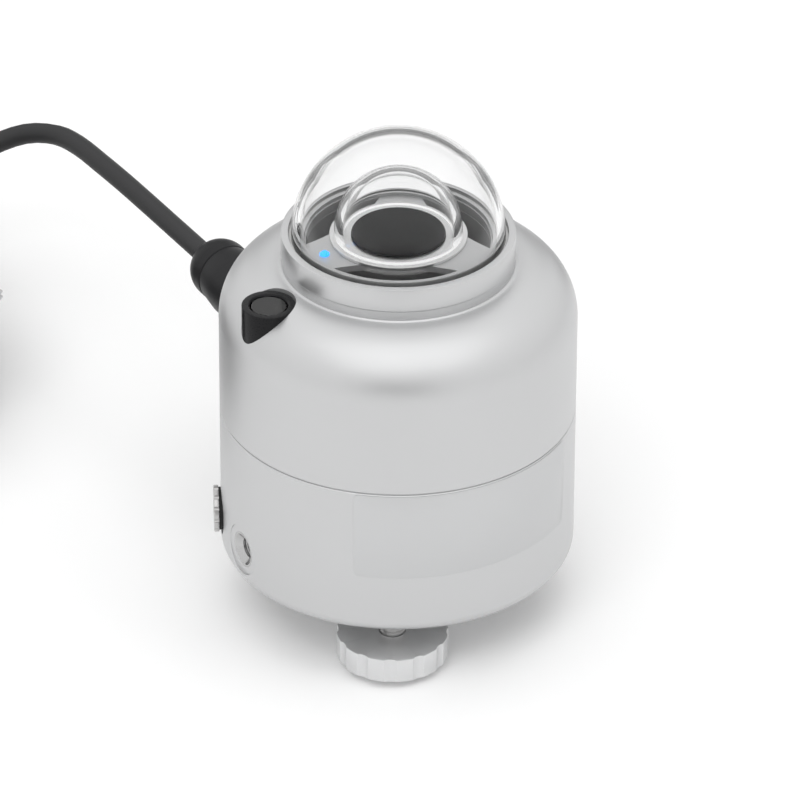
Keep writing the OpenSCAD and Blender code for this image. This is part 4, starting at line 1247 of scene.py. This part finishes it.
@dataclass
class Housing:
    """The two-part housing with its openings, insert, plug and label. Millimetres.

    Attributes:
        foot_bore: Radius and top of each foot's bore; the mounts and screws have the same pair.
        insert_bores: Radius, depth and sides of the bores at the insert, from its sunk face;
            the plug and the connector have the same rows.
    """

    body_r: float = 42.0
    seam_z: float = 38.5
    edge_r: float = 3.6
    cavity_r: float = 35.5
    floor_h: float = 18.0
    shoulder_r: float = 14.0
    shoulder_z: float = 62.5
    neck_r: float = 27.0
    neck_z: float = 79.0
    throat_r: float = 24.05
    ledge_z: float = 68.0
    lower_throat_r: float = 22.6
    ceiling_z: float = 60.0
    seam_gap: float = 0.35
    seam_step: float = 0.4
    screw_azimuths: tuple[float, ...] = (45.0, 135.0, 225.0, 315.0)
    screw_rho: float = 34.015
    screw_pocket: tuple[float, float] = (3.55, 14.0)
    foot_azimuths: tuple[float, ...] = (30.0, 150.0, 270.0)
    foot_rho: float = 30.0
    foot_bore: tuple[float, float] = (3.05, 16.0)
    mount_azimuths: tuple[float, ...] = (0.0, 180.0)
    mount_rho: float = 32.5
    mount_bore: tuple[float, float] = (2.1, 10.0)
    past: float = 1.0
    side_reach: float = 8.0
    insert_sunk: float = 0.5
    insert_bores: tuple[tuple[float, float, int], ...] = ((6.2, 0.0, 48), (4.3, 11.5, 48))
    plug_sunk: float = 0.6
    plug_bores: tuple[tuple[float, float, int], ...] = ((6.2, 0.0, 48), (4.0, 8.9, 48))
    connector_sunk: float = 1.0
    connector_bores: tuple[tuple[float, float, int], ...] = ((8.2, 0.0, 64), (6.0, 8.0, 48))
    side_z: float = 9.6
    insert_az: float = 91.0
    plug_az: float = 65.0
    connector_az: float = 2.25
    connector_z: float = 30.0
    level_az: float = 93.0
    level_rho: float = 34.85
    level_bore_r: float = 6.35
    level_floor_z: float = 63.9

    def lower(self) -> None:
        """Makes the lower housing."""
        corner = (self.body_r - self.edge_r, self.edge_r)
        outline = [(0, 0), *arc(corner, self.edge_r, -90, 0, 12)]
        outline += [(self.body_r, self.seam_z - 0.2), (self.body_r - 0.2, self.seam_z)]
        outline += [(self.cavity_r, self.seam_z), (self.cavity_r, self.floor_h), (0, self.floor_h)]
        tools = []
        for azimuths, rho, (radius, top) in (
            (self.foot_azimuths, self.foot_rho, self.foot_bore),
            (self.mount_azimuths, self.mount_rho, self.mount_bore),
            (self.screw_azimuths, self.screw_rho, self.screw_pocket),
        ):
            for azimuth in azimuths:
                tools.append(moved(rod(radius, -self.past, top), upright(azimuth, rho)))
        for azimuth, sunk, height, bores in (
            (self.insert_az, self.insert_sunk, self.side_z, self.insert_bores),
            (self.plug_az, self.plug_sunk, self.side_z, self.plug_bores),
            (self.connector_az, self.connector_sunk, self.connector_z, self.connector_bores),
        ):
            for radius, depth, sides in bores:
                place = outward(azimuth, self.body_r - sunk, height)
                tools.append(moved(rod(radius, -depth, self.side_reach, sides), place))
        mesh = cut_away(lathe(outline, Closed.ON_AXIS, 192), tools)
        piece("lower_housing", mesh, "housing", Body.HOUSING, "base", bevel=0.18)

    def upper(self) -> None:
        """Makes the upper housing with its shoulder, neck and level bore."""
        shoulder = (self.body_r - self.shoulder_r, self.shoulder_z)
        top = self.shoulder_z + self.shoulder_r
        outline = [
            (self.cavity_r, self.seam_z),
            (self.body_r - self.seam_step, self.seam_z),
            (self.body_r - self.seam_step, self.seam_z + self.seam_gap),
            (self.body_r - 0.15, self.seam_z + self.seam_gap),
            (self.body_r, self.seam_z + self.seam_gap + 0.15),
            *arc(shoulder, self.shoulder_r, 0, 90, 40),
            (shoulder[0] - 0.4, top + 0.15),
            (shoulder[0] - 0.6, top + 0.4),
            (self.neck_r, top + 0.4),
            (self.neck_r, self.neck_z - 0.1),
            (self.neck_r - 0.1, self.neck_z),
            (self.throat_r, self.neck_z),
            (self.throat_r, self.ledge_z),
            (self.lower_throat_r, self.ledge_z),
            (self.lower_throat_r, self.ceiling_z),
            (self.cavity_r, self.ceiling_z),
        ]
        place = upright(self.level_az, self.level_rho)
        bore = moved(rod(self.level_bore_r, self.level_floor_z, 90, 72), place)
        mesh = cut_away(lathe(outline, Closed.LOOP, 192), [bore])
        piece("upper_housing", mesh, "housing", Body.HOUSING, "upper_body", bevel=0.15)

    def insert(self) -> None:
        """Makes the bright thread insert, with real thread rings in its bore."""
        crest, root, pitch, length = 2.5, 2.95, 1.0, 11.5
        outline: Profile = [(4.25, 0), (4.25, -length), (crest, -length)]
        z = -length
        while z + pitch < -1.2:
            outline += [(crest, z + 0.12), (root, z + 0.5 * pitch), (crest, z + 0.88 * pitch)]
            z += pitch
        outline += [(crest, -1.4), (3.85, 0)]
        place = outward(self.insert_az, self.body_r - self.insert_sunk, self.side_z)
        mesh = moved(lathe(outline, Closed.LOOP, 72), place)
        piece("thread_insert_skin", mesh, "insert_steel", Body.HOUSING, "thread_insert")

    def label(self) -> None:
        """Makes the bare label, a thin film bent round the housing."""
        half, low, high, thick, turn = 40.6, 15.95, 38.2, 0.15, 178.5
        mesh = bmesh.new()
        bmesh.ops.create_grid(mesh, x_segments=1, y_segments=1, size=0.5)
        wide = 2 * math.radians(half) * self.body_r
        bmesh.ops.scale(mesh, verts=mesh.verts, vec=(wide * MM, (high - low) * MM, 1))
        bmesh.ops.bevel(
            mesh,
            geom=list(mesh.verts),
            offset=1.5 * MM,
            affect="VERTICES",
            segments=6,
            profile=0.5,
            material=-1,
        )
        for k in range(-39, 40):
            bmesh.ops.bisect_plane(
                mesh,
                geom=list(mesh.verts) + list(mesh.edges) + list(mesh.faces),
                plane_co=(k / 80 * wide * MM, 0, 0),
                plane_no=(1, 0, 0),
            )
        radius = (self.body_r + 0.02) * MM
        for spot in mesh.verts:
            angle = math.radians(turn) - spot.co.x / radius
            height = spot.co.y + (low + high) / 2 * MM
            spot.co = Vector((-radius * math.sin(angle), radius * math.cos(angle), height))
        bmesh.ops.recalc_face_normals(mesh, faces=mesh.faces)
        outermost = max(mesh.faces, key=lambda face: face.calc_area())
        if outermost.normal.dot(Vector((*outermost.calc_center_median().xy, 0))) < 0:
            bmesh.ops.reverse_faces(mesh, faces=mesh.faces)
        film = piece("label_film", mesh, "label_film", Body.HOUSING, "label")
        wall = film.modifiers.new("wall", "SOLIDIFY")
        wall.thickness = thick * MM
        wall.offset = 1.0
        rounding = film.modifiers.new("rounding", "BEVEL")
        rounding.width = 0.05 * MM
        rounding.segments = 2
        rounding.limit_method = "ANGLE"

    def side_plug(self) -> None:
        """Makes the screw plug with its notched flange and hexagon recess."""
        shank, flange, seat, thick, end = 3.95, 5.6, 1.1, 1.2, -7.4
        recess_r, recess_deep, notches, notch_r = 2.3, 2.0, 12, 0.55
        top = seat + thick
        stepped = [(0, end), (shank, end), (shank, seat), (flange, seat), (flange, top), (0, top)]
        outline = eased(stepped, 0.25, Closed.ON_AXIS)
        tools = [rod(recess_r, top - recess_deep, top + 1, 6)]
        for k in range(notches):
            tools.append(moved(rod(notch_r, 0, top + 1, 16), around(k / notches, flange)))
        mesh = moved(
            cut_away(lathe(outline, Closed.ON_AXIS, 72), tools),
            outward(self.plug_az, self.body_r - self.plug_sunk, self.side_z),
        )
        piece("side_plug_turned", mesh, "steel", Body.SIDE_PLUG, "side_plug", bevel=0.08)

    def build(self) -> None:
        """Builds the housing's pieces."""
        self.lower()
        self.upper()
        self.insert()
        self.label()
        self.side_plug()


@dataclass
class DomeStack:
    """Collar, glass domes, spoked plate, hub and absorber. Millimetres."""

    neck_z: float = 79.0
    collar_r: float = 27.35
    top_z: float = 84.9
    seat_z: float = 81.0
    recess_r: float = 25.6
    bore_r: float = 22.0
    spigot_r: float = 24.0
    spigot_z: float = 69.5
    outer_r: float = 25.0
    outer_thick: float = 2.0
    outer_z: float = 84.4
    inner_r: float = 15.0
    inner_thick: float = 2.0
    inner_z: float = 85.3
    plate_r: float = 22.9
    plate_z: float = 83.7
    plate_thick: float = 1.5
    window_azimuths: tuple[float, ...] = (30.0, 150.0, 270.0)
    hub_r: float = 16.1
    hub_z: float = 84.5
    stem_r: float = 12.5
    stem_z: float = 76.5
    core_r: float = 11.05
    absorber_r: float = 11.0
    absorber_sunk: float = 0.5
    absorber_rise: float = 0.6

    def collar(self) -> None:
        """Makes the collar with its fine chamfer and glass recess."""
        outline = [
            (self.recess_r, self.seat_z),
            (self.recess_r, self.top_z - 0.1),
            (self.recess_r + 0.1, self.top_z),
            (self.collar_r - 0.35, self.top_z),
            (self.collar_r - 0.08, self.top_z - 0.12),
            (self.collar_r, self.top_z - 0.4),
            (self.collar_r, self.neck_z + 0.35),
            (self.collar_r - 0.3, self.neck_z + 0.02),
            (self.spigot_r, self.neck_z + 0.02),
            (self.spigot_r, self.spigot_z),
            (self.bore_r, self.spigot_z),
            (self.bore_r, self.seat_z),
        ]
        mesh = lathe(outline, Closed.LOOP, 192)
        piece("dome_collar_turned", mesh, "collar", Body.HOUSING, "dome_collar")

    @staticmethod
    def shell(radius: float, thick: float, centre_z: float, foot_z: float) -> bmesh.types.BMesh:
        """Makes a glass dome with a short straight skirt and a ground foot.

        Args:
            radius: Outer radius.
            thick: Thickness of the glass.
            centre_z: Height of the ball's centre.
            foot_z: Height of the foot.

        Returns:
            The dome.
        """
        foot = eased([(radius, foot_z), (radius - thick, foot_z)], 0.0, Closed.ON_AXIS)
        outer = arc((0, centre_z), radius, 90, 0, 48)
        inner = arc((0, centre_z), radius - thick, 0, 90, 48)
        outer[0], inner[-1] = (0.0, outer[0][1]), (0.0, inner[-1][1])
        return lathe([*outer, *foot, *inner], Closed.ON_AXIS, 160)

    def glass(self) -> None:
        """Makes both glass domes."""
        outer = self.shell(self.outer_r, self.outer_thick, self.outer_z, self.seat_z + 0.4)
        piece("outer_dome_glass", outer, "outer_glass", Body.HOUSING, "outer_dome")
        inner = self.shell(self.inner_r, self.inner_thick, self.inner_z, self.hub_z + 0.01)
        piece("inner_dome_glass", inner, "inner_glass", Body.HOUSING, "inner_dome")

    def plate(self) -> None:
        """Makes the spoked plate with three lens-shaped windows and a raised rim."""
        low, high, rim = self.plate_z - self.plate_thick, self.plate_z, self.top_z - 0.05
        outline = [
            (self.stem_r + 0.05, low),
            (self.plate_r - 0.8, low),
            (self.plate_r - 0.8, self.seat_z),
            (self.plate_r, self.seat_z),
            (self.plate_r, rim - 0.1),
            (self.plate_r - 0.1, rim),
            (self.plate_r - 0.9, rim),
            (self.plate_r - 1.0, rim - 0.1),
            (self.plate_r - 1.0, high),
            (self.stem_r + 0.05, high),
        ]
        tools = []
        for azimuth in self.window_azimuths:
            tools.append(moved(self.window(low - 1, high + 1), upright(azimuth, 0)))
        mesh = cut_away(lathe(outline, Closed.LOOP, 160), tools)
        piece("spoked_plate", mesh, "vent_plate", Body.HOUSING, "spoke_plate", bevel=0.08)

    @staticmethod
    def window(low: float, high: float) -> bmesh.types.BMesh:
        """Makes the lens-shaped plug that one air window is cut with.

        Args:
            low: Height of its foot.
            high: Height of its top.

        Returns:
            The plug, in metres.
        """
        edge_r, arc_r, arc_at, hub_r = 21.6, 43.0, 56.0, 14.5
        cross_y = (arc_at**2 - arc_r**2 + edge_r**2) / (2 * arc_at)
        edge_half = math.acos(cross_y / edge_r)
        reach = (arc_at**2 - arc_r**2 + hub_r**2) / (2 * arc_at)
        steps = 40
        points = []
        for k in range(steps + 1):
            angle = edge_half * (2 * k / steps - 1)
            points.append((edge_r * math.sin(angle), edge_r * math.cos(angle)))
        half = math.asin(edge_r * math.sin(edge_half) / arc_r)
        for k in range(1, steps):
            angle = half * (1 - 2 * k / steps)
            x, y = arc_r * math.sin(angle), arc_at - arc_r * math.cos(angle)
            if y < reach and math.hypot(x, y) < hub_r:
                x, y = x * hub_r / math.hypot(x, y), y * hub_r / math.hypot(x, y)
            points.append((x, y))
        mesh = bmesh.new()
        foot = mesh.faces.new([mesh.verts.new((x * MM, y * MM, low * MM)) for x, y in points])
        grown = bmesh.ops.extrude_face_region(mesh, geom=[foot])
        top = [item for item in grown["geom"] if isinstance(item, bmesh.types.BMVert)]
        bmesh.ops.translate(mesh, verts=top, vec=(0, 0, (high - low) * MM))
        bmesh.ops.recalc_face_normals(mesh, faces=mesh.faces)
        return mesh

    def hub(self) -> None:
        """Makes the silver hub with its cup for the thermopile."""
        outline = eased(
            [
                (self.core_r, self.hub_z),
                (self.core_r, self.stem_z + 1.5),
                (2.0, self.stem_z + 1.5),
                (2.0, self.stem_z),
                (self.stem_r, self.stem_z),
                (self.stem_r, self.plate_z + 0.01),
                (self.hub_r, self.plate_z + 0.01),
                (self.hub_r, self.hub_z),
            ],
            0.2,
            Closed.LOOP,
        )
        mesh = lathe(outline, Closed.LOOP, 160)
        piece("sensor_hub_turned", mesh, "silver_hub", Body.HOUSING, "sensor_hub")

    def absorber(self) -> None:
        """Makes the black absorber disc with a soft edge."""
        low, high = self.hub_z - self.absorber_sunk, self.hub_z + self.absorber_rise
        edge = self.absorber_r
        outline = eased([(0, low), (edge, low), (edge, high), (0, high)], 0.2, Closed.ON_AXIS)
        mesh = lathe(outline, Closed.ON_AXIS, 128)
        piece("absorber_disc", mesh, "absorber_paint", Body.HOUSING, "absorber")

    def build(self) -> None:
        """Builds the dome's pieces."""
        self.collar()
        self.glass()
        self.plate()
        self.hub()
        self.absorber()


@dataclass
class BubbleLevel:
    """The bubble level in its bore. Millimetres."""

    azimuth: float = 93.0
    rho: float = 34.85
    top_z: float = 75.5
    floor_z: float = 63.9
    holder_r: float = 6.3
    vial_r: float = 4.38
    dial_z: float = 69.1
    ring_r: float = 2.5
    ring_half: float = 0.2
    ring_above: float = 0.5
    ring_thick: float = 0.06

    def build(self) -> None:
        """Builds the holder and the marked ring."""
        outline = eased(
            [
                (self.vial_r + 0.05, self.dial_z),
                (self.vial_r + 0.05, self.top_z - 0.35),
                (self.vial_r + 0.4, self.top_z),
                (self.holder_r, self.top_z),
                (self.holder_r, self.floor_z),
                (0.6, self.floor_z),
                (0.6, self.dial_z),
            ],
            0.2,
            Closed.LOOP,
        )
        mesh = moved(lathe(outline, Closed.LOOP, 96), upright(self.azimuth, self.rho))
        piece("level_holder_turned", mesh, "level_black", Body.HOUSING, "level_holder")
        near, far = self.ring_r - self.ring_half, self.ring_r + self.ring_half
        low = self.dial_z + self.ring_above
        high = low + self.ring_thick
        ring = eased([(near, low), (far, low), (far, high), (near, high)], 0.01, Closed.LOOP)
        mesh = moved(lathe(ring, Closed.LOOP, 64), upright(self.azimuth, self.rho))
        piece("level_mark", mesh, "level_ring", Body.HOUSING, slot="level_black")


@dataclass
class Foot:
    """A levelling foot's wheel. Millimetres.

    Attributes:
        name: The foot's name in the frame.
        azimuth: Where it stands, in degrees.
        body: The body that it rides on.
    """

    name: str
    azimuth: float
    body: Body
    rho: float = 30.0
    radius: float = 13.25
    low: float = -12.6
    high: float = -6.4
    crest_r: float = 3.0
    flutes: int = 12
    flute_r: float = 2.8
    flute_depth: float = 0.55

    def build(self) -> None:
        """Builds the fluted wheel and the screw's turned end."""
        hole, edge, low, high = self.crest_r, self.radius, self.low, self.high
        corners = [(hole, low), (edge, low), (edge, high), (hole, high)]
        outline = eased(corners, 0.5, Closed.LOOP, 2)
        tools = []
        for k in range(self.flutes):
            place = around(k / self.flutes, self.radius + self.flute_r - self.flute_depth)
            tools.append(moved(rod(self.flute_r, self.low - 1, self.high + 1, 40), place))
        place = upright(self.azimuth, self.rho)
        wheel = moved(cut_away(lathe(outline, Closed.LOOP, LATHE_STEPS), tools), place)
        name = f"{self.name}_wheel"
        piece(f"{name}_fluted", wheel, "wheel_metal", self.body, name, bevel=0.15)
        screw = self.screw()
        piece(f"{self.name}_screw_turned", screw, "steel", self.body, f"{self.name}_screw")

    def screw(self) -> bmesh.types.BMesh:
        """Makes the screw with its thread rings.

        Returns:
            The screw.
        """
        crest, root, pitch, top = self.crest_r, 2.62, 1.0, 10.0
        key_r, key_top = 1.55, self.low + 4.0
        outline: Profile = [(key_r, self.low), (crest, self.low), (crest, self.high + 0.4)]
        z = self.high + 0.4
        while z + pitch < top - 0.6:
            outline += [(root, z + 0.4 * pitch), (root, z + 0.6 * pitch), (crest, z + 0.92 * pitch)]
            z += pitch
        outline += [(crest, top - 0.5), (crest - 0.5, top), (0, top)]
        outline += [(0, key_top), (key_r, key_top)]
        return moved(lathe(outline, Closed.LOOP, 64), upright(self.azimuth, self.rho))


@dataclass
class Connector:
    """The plug on the cable: coupling ring, body and rounded cap. Millimetres."""

    azimuth: float = 2.25
    z: float = 30.0
    ring_at: float = 44.0
    neck_at: float = 51.6
    body_r: float = 8.3
    cap_r: float = 7.6
    cap_at: float = 83.8
    cable_r: float = 2.6

    def body(self) -> None:
        """Makes the plug's body with the step behind its neck."""
        outline = eased(
            [
                (4.55, 0),
                (6.5, 0),
                (6.5, 7.6),
                (self.body_r, 7.6),
                (self.body_r, 25.6),
                (7.5, 32.2),
                (5.9, 32.2),
                (5.9, 34.6),
                (3.4, 34.6),
                (3.4, 27.6),
                (4.55, 25.6),
            ],
            0.5,
            Closed.LOOP,
            4,
        )
        mesh = moved(lathe(outline, Closed.LOOP, 96), outward(self.azimuth, self.neck_at, self.z))
        piece("plug_body_moulded", mesh, "black_moulding", Body.HOUSING, "plug_body")

    def cap(self) -> None:
        """Makes the rounded gland cap with a soft lip round the cable."""
        side, rounded = 2.6, 0.88
        cap_l = side + rounded * self.cap_r
        end_angle = math.degrees(math.asin(rounded))
        dome = arc((0, side), self.cap_r, 0, end_angle, 14)
        outline = [(self.cap_r - 0.25, 0), (self.cap_r, 0.25), *dome]
        lip_r = self.cable_r + 0.3
        seal_r, skirt_r, seat = 3.5, 5.95, 2.4
        outline += [(lip_r + 0.2, cap_l), (lip_r, cap_l - 0.3), (lip_r, cap_l - 1.0)]
        outline += [(seal_r, cap_l - 1.0), (seal_r, seat), (skirt_r, seat), (skirt_r, 0)]
        mesh = moved(lathe(outline, Closed.LOOP, 96), outward(self.azimuth, self.cap_at, self.z))
        piece("gland_cap_moulded", mesh, "black_moulding", Body.HOUSING, "gland_cap")

    def ring(self) -> None:
        """Makes the knurled coupling ring."""
        outer, length, grooves, groove_r = 8.5, 15.0, 20, 0.45
        thread_r, neck_r, step = 6.0, 6.55, 6.8
        outline = eased(
            [
                (thread_r, 0),
                (outer, 0),
                (outer, length),
                (neck_r, length),
                (neck_r, step),
                (thread_r, step),
            ],
            0.5,
            Closed.LOOP,
        )
        tools = []
        for k in range(grooves):
            place = around(k / grooves, outer)
            tools.append(moved(rod(groove_r, -1, length + 1, 14), place))
        place = outward(self.azimuth, self.ring_at, self.z)
        mesh = moved(cut_away(lathe(outline, Closed.LOOP, 120), tools), place)
        name, finish = "coupling_ring_knurled", "black_moulding"
        piece(name, mesh, finish, Body.RING, "coupling_ring", bevel=0.06)

    def build(self) -> None:
        """Builds the plug's pieces."""
        self.body()
        self.cap()
        self.ring()


def dress_frame_nodes() -> None:
    """Gives every node of the frame the finish of its slot, or the brown wire finish where no
    finish has that name.
    """
    for row in frame["record"]["subparts"]:
        node = frame["nodes"][row["node"]]
        slot = row["material_slot"]
        finish = slot if slot in MATERIALS else "brown_wire"
        node.data.materials.clear()
        node.data.materials.append(MATERIALS[finish])
        LOG.info("%s takes %s", row["node"], finish)


def main() -> None:
    """Builds the scene in order."""
    logging.basicConfig(level=logging.INFO, format="%(name)s %(message)s")
    bpy.context.scene.view_settings.view_transform = "Standard"
    build_finishes()
    studio = Studio()
    studio.camera()
    Cable().build()
    studio.backdrop()
    studio.floor()
    studio.lights()
    dress_frame_nodes()
    Housing().build()
    DomeStack().build()
    BubbleLevel().build()
    Foot("front_foot", 150.0, Body.FRONT_FOOT).build()
    Foot("back_foot", 30.0, Body.BACK_FOOT).build()
    Connector().build()


if __name__ == "__main__":
    main()
